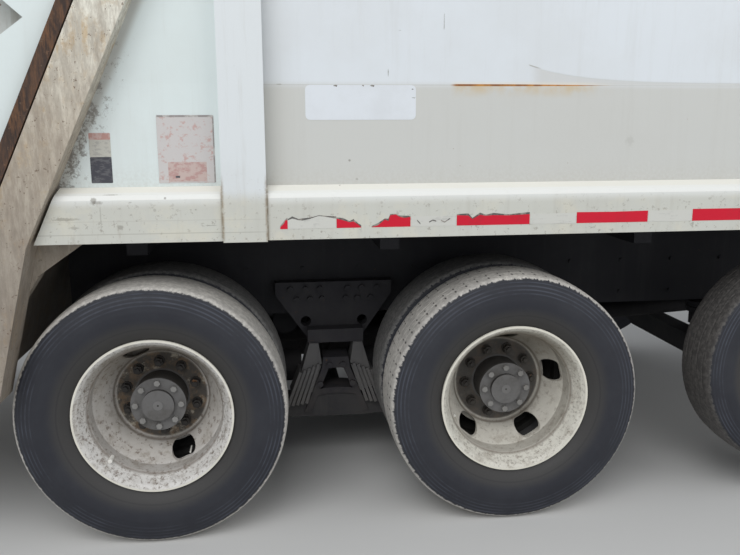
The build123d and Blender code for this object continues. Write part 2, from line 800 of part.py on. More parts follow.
with BuildPart() as sill_rails:
    sill = [
        (wall_y, sill_bottom_z),
        (sill_y, sill_bottom_z),
        (sill_y, sill_bevel_z),
        (sill_y - 8, sill_bevel_z + 16),
        (wall_y + 12, sill_top_z),
        (wall_y, sill_top_z),
    ]
    end_plate(sill, rear_x, post_rear_x)
    end_plate(sill, post_rear_x + post_width, body_front_x)
    trim_to(lambda z: column_front(z) + sill_end_gap, kink_z, sill_top_z + 1, 1500)
    # Post that braces the slanted frame, let into the bulged wall
    post_front_x = post_rear_x + post_width
    outline = [
        (post_rear_x, post_foot_z),
        (post_front_x, post_foot_z),
        (post_front_x, column_height(post_front_x)),
        (post_rear_x, column_height(post_rear_x)),
    ]
    side_plate(outline, wall_y, post_y)
    with BuildSketch(Plane.YZ.offset(rear_x)) as section:
        with BuildLine():
            Polyline(
                (wall_y, seam_z),
                (wall_y, post_foot_z),
                (wall_y - 5, post_foot_z),
                (wall_y - 5, shoulder_z),
            )
            Line((wall_y - 5, shoulder_z), (wall_y, shoulder_z))
            ThreePointArc(
                (wall_y, shoulder_z),
                (wall_y + wall_bulge, (seam_z + shoulder_z) / 2),
                (wall_y, seam_z),
            )
        make_face()
    extrude(section.sketch, amount=overall_length, mode=Mode.SUBTRACT)
    mirror(about=Plane.XZ)
finish(sill_rails.part, "sills_and_posts")

with BuildPart() as rear_frame:
    column = [
        (column_front(rear_foot_z), rear_foot_z),
        (column_kink_x, kink_z),
        (column_front(roof_z), roof_z),
        (seam(roof_z), roof_z),
        (seam(kink_z), kink_z),
        (seam(rear_foot_z), rear_foot_z),
    ]
    side_plate(column, column_outer_y - column_depth, column_outer_y)
    # Gusset below the floor, with its return along the lower edge
    edge = [
        (axle_a_x - 196, floor_z - floor_wall),
        (axle_a_x - 372, 1052),
        (axle_a_x - 450, 936),
        (axle_a_x - 500, 850),
    ]
    gusset = edge + [(seam(850) + 30, 850), (seam(floor_z - floor_wall) + 30, floor_z - floor_wall)]
    side_plate(gusset, gusset_y - 10, gusset_y)
    back = [(x - 12, z) for x, z in reversed(edge)]
    side_plate(edge + back, gusset_y - 70, gusset_y - 10)
    mirror(about=Plane.XZ)
    header = [
        (column_front(shoulder_z - 40), shoulder_z - 40),
        (column_front(roof_z), roof_z),
        (seam(roof_z), roof_z),
        (seam(shoulder_z - 40), shoulder_z - 40),
    ]
    inner_y = column_outer_y - column_depth
    side_plate(header, -inner_y, inner_y)
    threshold = [
        (seam(floor_z) + 0, floor_z),
        (column_front(floor_z), floor_z),
        (column_front(floor_z - floor_wall), floor_z - floor_wall),
        (seam(floor_z - floor_wall) + 60, floor_z - floor_wall),
        (seam(rear_foot_z) + 60, rear_foot_z),
        (seam(rear_foot_z), rear_foot_z),
        (seam(kink_z), kink_z),
    ]
    side_plate(threshold, -inner_y, inner_y)
    # Hinge lugs on the header
    for y_low in (840, -880):
        lug = [
            (hinge_x - 28, roof_z - 10),
            (hinge_x - 28, hinge_z),
            (hinge_x - 18, hinge_z + 32),
            (hinge_x + 18, hinge_z + 32),
            (hinge_x + 110, roof_z - 10),
        ]
        side_plate(lug, y_low, y_low + 40)
        cross_bar((hinge_x, hinge_z), hinge_pin_radius + pin_gap, y_low, y_low + 40, mode=Mode.SUBTRACT)
finish(rear_frame.part, "rear_frame")

# Ejector panel, parallel to the rear frame, with a sled on the floor
ejector_back_x = body_front_x - 60
ejector_top_z = shoulder_z + 20
ejector_y = wall_y - wall - moving_gap
with BuildPart() as ejector:
    foot_z = floor_z + 0.3
    lean = tan(radians(lean_deg))
    top_x = ejector_back_x - 90
    foot_x = top_x - (ejector_top_z - foot_z) * lean
    panel = [(foot_x - 70, foot_z), (foot_x, foot_z), (top_x, ejector_top_z), (top_x - 70, ejector_top_z)]
    side_plate(panel, -ejector_y, ejector_y)
    for y_low in (-ejector_y + 40, -60, ejector_y - 160):
        rib = [
            (foot_x - 20, foot_z),
            (ejector_back_x, foot_z),
            (ejector_back_x, foot_z + 160),
            (foot_x + 850 * lean, foot_z + 850),
            (foot_x + 850 * lean - 20, foot_z + 850),
        ]
        side_plate(rib, y_low, y_low + 120)
    for y_side in (-1, 1):
        corner = [
            (y_side * (ejector_y - 120), ejector_top_z + 1),
            (y_side * (ejector_y + 1), ejector_top_z - 120),
            (y_side * (ejector_y + 1), ejector_top_z + 1),
        ]
        end_plate(corner, foot_x - 100, ejector_back_x + 100, mode=Mode.SUBTRACT)
finish(ejector.part, "ejector_panel")

# Tailgate


def gate_front(z):
    """X of the tailgate's front face at height z."""
    return seam(z) - seam_gap


with BuildPart() as gate_frame:
    strip = [
        (gate_front(rear_foot_z), rear_foot_z),
        (gate_front(kink_z), kink_z),
        (gate_front(gate_roof_z), gate_roof_z),
        (gate_front(gate_roof_z) - gate_strip, gate_roof_z),
        (gate_front(kink_z) - gate_strip, kink_z),
        (gate_front(rear_foot_z) - gate_strip, rear_foot_z),
    ]
    side_plate(strip, hopper_y, column_outer_y)
    mirror(about=Plane.XZ)
    header = [
        (gate_front(gate_roof_z), gate_roof_z),
        (gate_front(gate_roof_z - 140), gate_roof_z - 140),
        (gate_front(gate_roof_z - 140) - gate_strip, gate_roof_z - 140),
        (gate_front(gate_roof_z) - gate_strip - 40, gate_roof_z),
    ]
    side_plate(header, -hopper_y, hopper_y)
    hinge_point = (hinge_x, hinge_z)
    horn = polar(hinge_point, horn_radius, horn_deg)
    for y_low in (885, -925):
        arm = [
            (gate_front(gate_roof_z) - 4, gate_roof_z),
            (gate_front(gate_roof_z) - 4, hinge_z - 48),
            (hinge_x + 34, hinge_z - 24),
            (hinge_x + 34, hinge_z + 22),
            (hinge_x, hinge_z + 42),
            (horn[0] + 20, horn[1] + 34),
            (horn[0] - 30, horn[1] + 20),
            (horn[0] - 34, horn[1] - 20),
            (gate_front(gate_roof_z) - 330, gate_roof_z),
        ]
        side_plate(arm, y_low, y_low + 40)
    for y_low, y_high in ((835, 885), (-885, -835)):
        cross_bar(hinge_point, hinge_pin_radius, y_low, y_high)
finish(gate_frame.part, "tailgate_frame")

box_front = [
    (gate_front(rear_foot_z) - gate_strip, rear_foot_z),
    (gate_front(kink_z) - gate_strip, kink_z),
    (gate_front(gate_roof_z) - gate_strip, gate_roof_z),
]
canopy_rear = axle_a_x - 950
canopy_lip = (axle_a_x - 1380, 2760)
hopper_lip = (hopper_centre[0] - sqrt(hopper_radius**2 - 480**2), hopper_centre[1] - 480)
outer_radius = hopper_radius + hopper_sheet
lip_deg = degrees(atan2(hopper_lip[1] - hopper_centre[1], hopper_lip[0] - hopper_centre[0])) + 360
sill_front_x = polar(hopper_centre, outer_radius, lip_deg)[0]


def hopper_belly():
    """Outline's lower edge: from the outer lip round the belly to the front strip."""
    lip = polar(hopper_centre, outer_radius, lip_deg)
    belly = polar(hopper_centre, outer_radius, 270)
    waist = polar(hopper_centre, outer_radius, (lip_deg + 270) / 2)
    return lip, waist, belly


def gate_side(rear_points, y_low, y_high):
    """One tailgate side from y_low to y_high, closed behind by rear_points, which
    run from the lip up to the roof."""
    lip, waist, belly = hopper_belly()
    with BuildSketch(Plane.XZ.offset(-y_high)) as outline:
        with BuildLine():
            Polyline(belly, (box_front[0][0], belly[1]), *box_front)
            Polyline(box_front[2], (canopy_rear, gate_roof_z), *reversed(rear_points), lip)
            ThreePointArc(lip, waist, belly)
        make_face()
    extrude(outline.sketch, amount=y_high - y_low)


with BuildPart() as gate_boxes:
    notch = [
        (sill_front_x, hopper_lip[1] + 10),
        (axle_a_x - 640, 1690),
        notch_apex,
        (axle_a_x - 1180, 2700),
        canopy_lip,
        (axle_a_x - 1290, 3060),
    ]
    gate_side(notch, hopper_y + inner_plate, gate_box_y)
    mirror(about=Plane.XZ)
finish(gate_boxes.part, "tailgate_sides")

track = (sin(radians(track_deg)), cos(radians(track_deg)))
rearward = (-track[1], track[0])


def on_track(along, off=0.0, start=hopper_centre):
    """Point of the side view at a distance along the slide track from the hopper's
    centre, and off it towards the rear."""
    return (
        start[0] + along * track[0] + off * rearward[0],
        start[1] + along * track[1] + off * rearward[1],
    )


track_half = 75
track_bar = 22
with BuildPart() as inner_plates:
    opening = [
        (sill_front_x, hopper_lip[1] + 10),
        (axle_a_x - 1640, 1900),
        (axle_a_x - 1520, 2700),
        canopy_lip,
        (axle_a_x - 1290, 3060),
    ]
    gate_side(opening, hopper_y, hopper_y + inner_plate)
    for off in (track_half + 5, -track_half - 5 - track_bar):
        far = off + track_bar
        bar = [on_track(-120, off), on_track(1750, off), on_track(1750, far), on_track(-120, far)]
        side_plate(bar, hopper_y - 30, hopper_y)
    mirror(about=Plane.XZ)
finish(inner_plates.part, "hopper_side_plates")

with BuildPart() as hopper_floor:
    floor_end_deg = 338
    with BuildSketch(Plane.XZ.offset(-hopper_y)) as outline:
        mid_deg = (lip_deg + floor_end_deg) / 2
        with BuildLine():
            ThreePointArc(
                polar(hopper_centre, hopper_radius, lip_deg),
                polar(hopper_centre, hopper_radius, mid_deg),
                polar(hopper_centre, hopper_radius, floor_end_deg),
            )
            Line(
                polar(hopper_centre, hopper_radius, floor_end_deg),
                polar(hopper_centre, outer_radius, floor_end_deg),
            )
            ThreePointArc(
                polar(hopper_centre, outer_radius, floor_end_deg),
                polar(hopper_centre, outer_radius, mid_deg),
                polar(hopper_centre, outer_radius, lip_deg),
            )
            Line(
                polar(hopper_centre, outer_radius, lip_deg),
                polar(hopper_centre, hopper_radius, lip_deg),
            )
        make_face()
    extrude(outline.sketch, amount=2 * hopper_y)
    # Loading sill along the rear lip
    sill_z = (hopper_lip[1] - 150, hopper_lip[1] + 24)
    block((sill_front_x - sill_depth, sill_front_x), (-gate_box_y, gate_box_y), sill_z)
    block((sill_front_x - 1, sill_front_x + 8), (-hopper_y, hopper_y), (hopper_lip[1] - 8, hopper_lip[1] + 8))
finish(hopper_floor.part, "hopper_floor")

with BuildPart() as canopy:
    depth = 30
    skin = [
        (box_front[2][0] - 44, gate_roof_z),
        (canopy_rear, gate_roof_z),
        (axle_a_x - 1290, 3060),
        canopy_lip,
        (canopy_lip[0] + depth, canopy_lip[1]),
        (axle_a_x - 1290 + depth + 2, 3060 - 14),
        (canopy_rear + 10, gate_roof_z - depth),
        (box_front[2][0] - 44 - depth * 0.4, gate_roof_z - depth),
    ]
    side_plate(skin, -hopper_y, hopper_y)
finish(canopy.part, "tailgate_canopy")

# Riding steps and their brackets
step_z = 430
with BuildPart() as rear_steps:
    sill_back_x = sill_front_x - sill_depth
    block((rear_x, sill_back_x), (780, 1200), (step_z, step_z + 30))
    for y_low in (800, 1168):
        arm = [
            (rear_x + 20, step_z + 30),
            (sill_back_x, step_z + 30),
            (sill_back_x, hopper_lip[1] - 10),
            (sill_back_x - 50, hopper_lip[1] - 10),
            (sill_back_x - 70, step_z + 190),
        ]
        side_plate(arm, y_low, y_low + 12)
    mirror(about=Plane.XZ)
finish(rear_steps.part, "rear_steps")

# Packer: a carriage that slides on the track and a sweep blade hinged to its lower end
blade_pivot = on_track(packer_travel)
slide_axis_off = 200
slide_rod_radius = 25
lever_slot = 150
lever_y = (22, 50)
lever_side_gap = 8
with BuildPart() as carriage:
    half = carriage_thick / 2
    panel = [
        on_track(blade_tube_radius + 14, -half, blade_pivot),
        on_track(carriage_length, -half, blade_pivot),
        on_track(carriage_length, half, blade_pivot),
        on_track(blade_tube_radius + 14, half, blade_pivot),
    ]
    blade_y = hopper_y - 40
    side_plate(panel, -blade_y, blade_y)
    # Slots that the blade's levers pass through
    slot = [
        on_track(blade_tube_radius, -half - 1, blade_pivot),
        on_track(lever_slot, -half - 1, blade_pivot),
        on_track(lever_slot, half + 1, blade_pivot),
        on_track(blade_tube_radius, half + 1, blade_pivot),
    ]
    for y_mid in (-350, 350):
        slot_y = (y_mid + lever_y[0] - lever_side_gap, y_mid + lever_y[1] + lever_side_gap)
        side_plate(slot, *slot_y, mode=Mode.SUBTRACT)
    for y_side in (-1, 1):
        cheek = [
            on_track(-50, -45, blade_pivot),
            on_track(260, -half, blade_pivot),
            on_track(260, half, blade_pivot),
            on_track(-50, 45, blade_pivot),
        ]
        cheek_y = sorted((y_side * (blade_y - 22), y_side * blade_y))
        side_plate(cheek, *cheek_y)
        shoe = [
            on_track(20, -track_half, blade_pivot),
            on_track(carriage_length - 40, -track_half, blade_pivot),
            on_track(carriage_length - 40, track_half, blade_pivot),
            on_track(20, track_half, blade_pivot),
        ]
        side_plate(shoe, *sorted((y_side * blade_y, y_side * (hopper_y - 5))))
        pin_y = sorted((y_side * (blade_y - 100), y_side * blade_y))
        cross_bar(blade_pivot, packer_pin_radius, *pin_y)
    for y_mid in (-700, 700):
        ear = [
            on_track(80, half - 1, blade_pivot),
            on_track(190, half - 1, blade_pivot),
            on_track(150, 245, blade_pivot),
            on_track(80, 245, blade_pivot),
        ]
        side_plate(ear, y_mid - 45, y_mid - 15)
        side_plate(ear, y_mid + 15, y_mid + 45)
    for y_mid in (-350, 350):
        ear = [
            on_track(830, half - 1, blade_pivot),
            on_track(920, half - 1, blade_pivot),
            on_track(930, 240, blade_pivot),
            on_track(870, 240, blade_pivot),
        ]
        side_plate(ear, y_mid - 50, y_mid - 34)
        side_plate(ear, y_mid + 34, y_mid + 50)
        cross_bar(on_track(900, 200, blade_pivot), 20, y_mid - 50, y_mid + 50)
    # Rods of the slide cylinders, held in the lower ears
    for y_mid in (-700, 700):
        start = on_track(115, slide_axis_off, blade_pivot)
        rod_between(start, on_track(960, slide_axis_off, blade_pivot), y_mid, slide_rod_radius)
        cross_bar(start, 34, y_mid - 20, y_mid + 20)
finish(carriage.part, "packer_carriage")

with BuildPart() as slide_barrels:
    for y_mid in (-700, 700):
        low = on_track(200, slide_axis_off, blade_pivot)
        high = on_track(1045, slide_axis_off, blade_pivot)
        rod_between(low, high, y_mid, 48)
        bore_end = on_track(985, slide_axis_off, blade_pivot)
        rod_between(low, bore_end, y_mid, slide_rod_radius + pin_gap, mode=Mode.SUBTRACT)
    anchor = on_track(1045, slide_axis_off, blade_pivot)
    block((anchor[0] - 60, anchor[0] + 60), (-hopper_y, hopper_y), (anchor[1] + 10, anchor[1] + 110))
finish(slide_barrels.part, "packer_slide_barrels")

blade_reach = hopper_radius - blade_gap
lever_radius = 240
lever_deg = 200
with BuildPart() as blade:
    down = blade_closed_deg - 90
    inner_y = blade_y - 30
    cross_bar(blade_pivot, blade_tube_radius, -inner_y, inner_y)
    with BuildSketch(Plane.XZ.offset(-inner_y)) as outline:
        with BuildLine():
            Polyline(
                polar(blade_pivot, 60, down + 90),
                polar(blade_pivot, 400, down + 15),
                polar(blade_pivot, blade_reach, down + 3),
                polar(blade_pivot, blade_reach, down - 2),
                polar(blade_pivot, 420, down - 8),
                polar(blade_pivot, 60, down - 90),
                close=True,
            )
        make_face()
    extrude(outline.sketch, amount=2 * inner_y)
    for y_side in (-1, 1):
        bore_y = sorted((y_side * (blade_y - 104), y_side * inner_y))
        cross_bar(blade_pivot, packer_pin_radius + bearing_gap, *bore_y, mode=Mode.SUBTRACT)
    lever_tip = polar(blade_pivot, lever_radius, lever_deg)
    for y_mid in (-350, 350):
        lever = [
            polar(blade_pivot, 58, lever_deg + 70),
            polar(lever_tip, 34, lever_deg + 90),
            polar(lever_tip, 34, lever_deg),
            polar(lever_tip, 34, lever_deg - 90),
            polar(blade_pivot, 58, lever_deg - 70),
        ]
        side_plate(lever, y_mid + lever_y[0], y_mid + lever_y[1])
finish(blade.part, "sweep_blade")

sweep_anchor = on_track(900, 200, blade_pivot)
sweep_line = Vector(lever_tip[0] - sweep_anchor[0], lever_tip[1] - sweep_anchor[1])
sweep_deg = degrees(atan2(sweep_line.Y, sweep_line.X))
with BuildPart() as sweep_barrels:
    for y_mid in (-350, 350):
        low = polar(sweep_anchor, 600, sweep_deg)
        rod_between(sweep_anchor, polar(sweep_anchor, 90, sweep_deg), y_mid, 28)
        rod_between(polar(sweep_anchor, 80, sweep_deg), low, y_mid, 42)
        rod_between(polar(sweep_anchor, 140, sweep_deg), low, y_mid, 22 + pin_gap, mode=Mode.SUBTRACT)
        cross_bar(sweep_anchor, 40, y_mid - 30, y_mid + 30)
        cross_bar(sweep_anchor, 20 + pin_gap, y_mid - 30, y_mid + 30, mode=Mode.SUBTRACT)
finish(sweep_barrels.part, "sweep_barrels")

with BuildPart() as sweep_rods:
    for y_mid in (-350, 350):
        rod_between(polar(sweep_anchor, 545, sweep_deg), polar(lever_tip, -20, sweep_deg), y_mid, 22)
        cross_bar(lever_tip, 34, y_mid - 20, y_mid + 20)
finish(sweep_rods.part, "sweep_rods")

# Tailgate lift cylinders on the roof: they pull the horns forward
lift_line = Vector(horn[0] - lift_anchor[0], horn[1] - lift_anchor[1])
lift_deg = degrees(atan2(lift_line.Y, lift_line.X))
with BuildPart() as lift_barrels:
    for y_mid in (-lift_y, lift_y):
        low = polar(lift_anchor, lift_line.length - 560, lift_deg)
        rod_between(lift_anchor, polar(lift_anchor, 120, lift_deg), y_mid, 24)
        rod_between(polar(lift_anchor, 110, lift_deg), low, y_mid, 44)
        rod_between(polar(lift_anchor, 200, lift_deg), low, y_mid, 24 + pin_gap, mode=Mode.SUBTRACT)
        cross_bar(lift_anchor, 40, y_mid - 24, y_mid + 24)
        cross_bar(lift_anchor, lift_pin_radius + pin_gap, y_mid - 24, y_mid + 24, mode=Mode.SUBTRACT)
finish(lift_barrels.part, "lift_barrels")

with BuildPart() as lift_rods:
    for y_mid in (-lift_y, lift_y):
        start = polar(lift_anchor, lift_line.length - 640, lift_deg)
        rod_between(start, polar(horn, -20, lift_deg), y_mid, 24)
        cross_bar(horn, 36, y_mid - 24, y_mid + 24)
finish(lift_rods.part, "lift_rods")

# Cab


def cab_outline(inset):
    """Side view of the cab, drawn in by inset all round."""
    return [
        (cab_front_x - inset, cab_foot_z + inset),
        (cab_front_x - inset, belt_z - 90),
        (cab_front_x - 130 - inset, cab_roof_z - 130),
        (cab_front_x - 260 - inset * 0.4, cab_roof_z - inset),
        (cab_back_x + 60 + inset * 0.4, cab_roof_z - inset),
        (cab_back_x + inset, cab_roof_z - 90),
        (cab_back_x + inset, cab_deck_z + inset),
        (arch_front_x - 60 + inset * 0.9, cab_deck_z + inset),
        (arch_front_x + inset, cab_foot_z + inset),
    ]


door_sill_z = cab_foot_z + 60
door_top_z = cab_roof_z - 110


def door_outline(grow):
    """Side view of a cab door, grown by grow all round."""
    return [
        (door_front_x + grow, door_sill_z - grow),
        (door_front_x + grow, belt_z - 60),
        (door_front_x - 90 + grow, door_top_z + grow),
        (door_rear_x - grow, door_top_z + grow),
        (door_rear_x - grow, cab_deck_z + 60),
        (arch_front_x - 10 - grow, cab_deck_z + 60),
        (arch_front_x + 50 - grow, door_sill_z - grow),
    ]


def door_window(fit):
    """Side view of a door's window, drawn in by fit."""
    return [
        (door_front_x - 50 - fit, belt_z + fit),
        (door_front_x - 130 - fit, door_top_z - 60 - fit),
        (door_rear_x + 60 + fit, door_top_z - 60 - fit),
        (door_rear_x + 60 + fit, belt_z + fit),
    ]


def windscreen_outline(fit):
    """End view of the windscreen's opening, drawn in by fit."""
    half = cab_half_width - cab_wall
    low = belt_z + 20 + fit
    high = cab_roof_z - 190 - fit
    foot = half - 40 - fit
    head = half - 90 - fit
    return [(-foot, low), (foot, low), (head, high), (-head, high)]


def rear_window_outline(fit):
    """End view of the rear window's opening, drawn in by fit."""
    half = 600 - fit
    low = belt_z + 60 + fit
    high = cab_roof_z - 260 - fit
    return [(-half, low), (half, low), (half, high), (-half, high)]


with BuildPart() as cab_shell:
    side_plate(cab_outline(0), -cab_half_width, cab_half_width)
    inner_y = cab_half_width - cab_wall
    side_plate(cab_outline(cab_wall), -inner_y, inner_y, mode=Mode.SUBTRACT)
    side_plate(door_outline(door_gap), -cab_half_width - 1, cab_half_width + 1, mode=Mode.SUBTRACT)
    # Floor raised over the frame rails
    x_range = (arch_front_x - 20, cab_front_x - cab_wall + 1)
    wall_out_y = cab_tunnel_y + cab_wall
    block(x_range, (-wall_out_y, wall_out_y), (cab_foot_z + 1, cab_tunnel_z + cab_wall))
    block(
        (arch_front_x - 400, cab_front_x + 1),
        (-cab_tunnel_y, cab_tunnel_y),
        (cab_foot_z - 1, cab_tunnel_z),
        mode=Mode.SUBTRACT,
    )
    cross_bar(cab_hinge, cab_pin_radius + pin_gap, -wall_out_y - 1, wall_out_y + 1, mode=Mode.SUBTRACT)
    end_plate(windscreen_outline(0), cab_front_x - 260, cab_front_x + 10, mode=Mode.SUBTRACT)
    end_plate(rear_window_outline(0), cab_back_x - 10, cab_back_x + cab_wall + 10, mode=Mode.SUBTRACT)
    grille_x = (cab_front_x - grille_depth, cab_front_x + 1)
    block(grille_x, (-grille_half, grille_half), grille_z, mode=Mode.SUBTRACT)
finish(cab_shell.part, "cab_shell")

for side, outboard in (("right", -1), ("left", 1)):
    with BuildPart() as door:
        y_pair = sorted((outboard * (cab_half_width - cab_wall), outboard * cab_half_width))
        side_plate(door_outline(0), *y_pair)
        side_plate(door_window(0), *y_pair, mode=Mode.SUBTRACT)
        # Handle below the window's rear corner
        handle_y = sorted((outboard * cab_half_width, outboard * (cab_half_width + 22)))
        block((door_rear_x + 50, door_rear_x + 210), handle_y, (belt_z - 130, belt_z - 95))
        # Hinge barrels on the door's turning axis
        for barrel_z in (door_sill_z + 180, belt_z - 200):
            with BuildSketch(Plane.XY.offset(barrel_z)) as barrel:
                with Locations((door_hinge_x, outboard * cab_half_width)):
                    Circle(door_barrel_radius)
            extrude(barrel.sketch, amount=90)
    finish(door.part, f"door_{side}")
    with BuildPart() as door_glass:
        mid_y = outboard * (cab_half_width - cab_wall / 2)
        side_plate(door_window(glass_fit), mid_y - glass_thick / 2, mid_y + glass_thick / 2)
    finish(door_glass.part, f"door_glass_{side}")

with BuildPart() as cab_glass:
    end_plate(windscreen_outline(glass_fit), cab_front_x - 260, cab_front_x)
    # The pane follows the slanted front, 20 mm behind its face
    pane = []
    for behind in (20, 20 + glass_thick):
        pane.append((cab_front_x - behind, belt_z - 90))
        pane.append((cab_front_x - 130 - behind, cab_roof_z - 130))
    side_plate([pane[0], pane[1], pane[3], pane[2]], -cab_half_width, cab_half_width, mode=Mode.INTERSECT)
    pane_x = cab_back_x + 18
    end_plate(rear_window_outline(glass_fit), pane_x, pane_x + glass_thick)
finish(cab_glass.part, "cab_glass")

with BuildPart() as grille:
    grille_x = (cab_front_x - grille_depth + 0.2, cab_front_x - 2)
    inside = grille_half - glass_fit
    low_z, high_z = grille_z[0] + glass_fit, grille_z[1] - glass_fit
    block(grille_x, (-inside, inside), (low_z, high_z))
    open_y = (35 - inside, inside - 35)
    block((grille_x[0] + 8, grille_x[1] + 1), open_y, (low_z + 30, high_z - 30), mode=Mode.SUBTRACT)
    slat_count = 7
    slat_pitch = (high_z - low_z - 60) / (slat_count + 1)
    for index in range(slat_count):
        slat_z = low_z + 30 + (index + 1) * slat_pitch
        slat = [
            (grille_x[0] + 7, slat_z - 14),
            (grille_x[0] + 7, slat_z + 2),
            (grille_x[1], slat_z + 12),
            (grille_x[1], slat_z - 2),
        ]
        side_plate(slat, 30 - inside, inside - 30)
finish(grille.part, "grille")

# Mirrors on arms ahead of the doors
with BuildPart() as mirrors:
    head_x = (door_front_x + 30, door_front_x + 84)
    head_y = (cab_half_width + 90, cab_half_width + 270)
    head_z = (belt_z + 130, belt_z + 560)
    middle = ((head_y[0] + head_y[1]) / 2, (head_z[0] + head_z[1]) / 2)
    with BuildSketch(Plane.YZ.offset(head_x[0])) as head:
        with Locations(middle):
            RectangleRounded(head_y[1] - head_y[0], head_z[1] - head_z[0], 40)
    extrude(head.sketch, amount=head_x[1] - head_x[0])
    for arm_z in (head_z[0] + 50, head_z[1] - 50):
        cross_bar((door_front_x + 48, arm_z), 13, cab_half_width + glass_fit, head_y[0] + 30)
        foot_x = (door_front_x + 20, door_front_x + 76)
        block(foot_x, (cab_half_width + glass_fit, cab_half_width + 10), (arm_z - 34, arm_z + 34))
    mirror(about=Plane.XZ)
finish(mirrors.part, "mirrors")

with BuildPart() as cab_interior:
    deck_z = cab_deck_z + cab_wall + glass_fit
    wall_x = cab_front_x - cab_wall - glass_fit
    side_y = cab_half_width - cab_wall - 12
    cushion_x = cab_back_x + 560
    for y_mid in (-620, 620):
        seat_y = (y_mid - 250, y_mid + 250)
        block((cushion_x + 40, cushion_x + 460), (y_mid - 200, y_mid + 200), (deck_z, deck_z + 220))
        cushion = [
            (cushion_x - 20, deck_z + 220),
            (cushion_x + 500, deck_z + 220),
            (cushion_x + 520, deck_z + 290),
            (cushion_x + 490, deck_z + 350),
            (cushion_x + 60, deck_z + 320),
            (cushion_x - 40, deck_z + 960),
            (cushion_x - 130, deck_z + 960),
            (cushion_x - 80, deck_z + 300),
        ]
        side_plate(cushion, *seat_y)
        rest = [
            (cushion_x - 60, deck_z + 950),
            (cushion_x - 70, deck_z + 1160),
            (cushion_x - 130, deck_z + 1160),
            (cushion_x - 120, deck_z + 950),
        ]
        side_plate(rest, y_mid - 120, y_mid + 120)
    dashboard = [
        (wall_x, 1480),
        (wall_x, 1735),
        (wall_x - 120, 1735),
        (wall_x - 230, 1660),
        (wall_x - 250, 1560),
        (wall_x - 170, 1480),
    ]
    side_plate(dashboard, -side_y, side_y)
    # Steering wheel on its column, on the left
    wheel_centre = (wall_x - 400, 1745)
    rod_between((wall_x - 200, 1600), wheel_centre, 620, 28)
    tilt = degrees(atan2(wheel_centre[0] - wall_x + 200, wheel_centre[1] - 1600))
    with Locations(Location((wheel_centre[0], 620, wheel_centre[1]), (0, tilt, 0))):
        Torus(215, 14)
        Cylinder(45, 30)
        Box(420, 36, 12)
finish(cab_interior.part, "cab_interior")

with BuildPart() as bumper:
    # Steel section with its ends raked back
    with BuildSketch(Plane.XY.offset(430)) as plan:
        with BuildLine():
            Polyline(
                (bumper_x - 120, 1200),
                (bumper_x - 70, 1200),
                (bumper_x, 1080),
                (bumper_x, -1080),
                (bumper_x - 70, -1200),
                (bumper_x - 120, -1200),
                close=True,
            )
        make_face()
    extrude(plan.sketch, amount=260)
    for y_mid in (-lamp_mid[0], lamp_mid[0]):
        lamp_y = (y_mid - lamp_size[0] / 2, y_mid + lamp_size[0] / 2)
        lamp_z = (lamp_mid[1] - lamp_size[1] / 2, lamp_mid[1] + lamp_size[1] / 2)
        block((bumper_x - lamp_depth, bumper_x + 1), lamp_y, lamp_z, mode=Mode.SUBTRACT)
    for y_low in (-420, 350):
        block((rail_front_x - 120, bumper_x - 120), (y_low, y_low + 70), (600, rail_bottom_z - 16))
        tab_z = (rail_bottom_z - 16, rail_bottom_z)
        block((rail_front_x - 120, rail_front_x - 20), (y_low, y_low + 70), tab_z)
finish(bumper.part, "front_bumper")

with BuildPart() as headlamps:
    for y_mid in (-lamp_mid[0], lamp_mid[0]):
        with BuildSketch(Plane.YZ.offset(bumper_x - lamp_depth + glass_fit)) as lens:
            with Locations((y_mid, lamp_mid[1])):
                RectangleRounded(lamp_size[0] - 2 * glass_fit, lamp_size[1] - 2 * glass_fit, 20)
        extrude(lens.sketch, amount=lamp_depth - 4)
finish(headlamps.part, "headlamps")

# Tail lamps in a row on the loading sill's rear face
with BuildPart() as tail_lamps:
    lamp_face = Plane.YZ.offset(sill_front_x - sill_depth - glass_fit)
    with BuildSketch(lamp_face) as lenses:
        for y_side in (-1, 1):
            for lamp_y in (940, 1060):
                with Locations((y_side * lamp_y, hopper_lip[1] - 62)):
                    Circle(50)
    extrude(lenses.sketch, amount=-28)
finish(tail_lamps.part, "tail_lamps")

# Exhaust stack between cab and body, on a bracket from the frame rail
with BuildPart() as exhaust_stack:
    for z_low, z_high, radius in ((1060, 1300, 60), (1300, 2250, 125), (2250, 3050, 60)):
        with BuildSketch(Plane.XY.offset(z_low)) as ring:
            with Locations(stack_centre):
                Circle(radius)
        extrude(ring.sketch, amount=z_high - z_low)
    with BuildSketch(Plane.XY.offset(2300)) as bore:
        with Locations(stack_centre):
            Circle(54)
    extrude(bore.sketch, amount=760, mode=Mode.SUBTRACT)
    bracket_x = (stack_centre[0] - 50, stack_centre[0] + 50)
    block(bracket_x, (rail_outer_y + glass_fit, stack_centre[1]), (1010, 1070))
    block(bracket_x, (rail_outer_y + glass_fit, rail_outer_y + 20), (rail_bottom_z + 100, 1040))
finish(exhaust_stack.part, "exhaust_stack")

with BuildPart() as fuel_tank:
    with BuildSketch(Plane.YZ.offset(pusher_x + 900)) as ring:
        with Locations((760, 760)):
            Circle(260)
    extrude(ring.sketch, amount=900)
    for ahead in (1000, 1740):
        strap_x = (pusher_x + ahead, pusher_x + ahead + 60)
        block(strap_x, (rail_outer_y, 540), (720, 800))
finish(fuel_tank.part, "fuel_tank")
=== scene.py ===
"""Dresses the refuse truck's CAD frame: tyres, fasteners, markings, finishes and a studio."""

import math

import bpy
from mathutils import Matrix, Vector


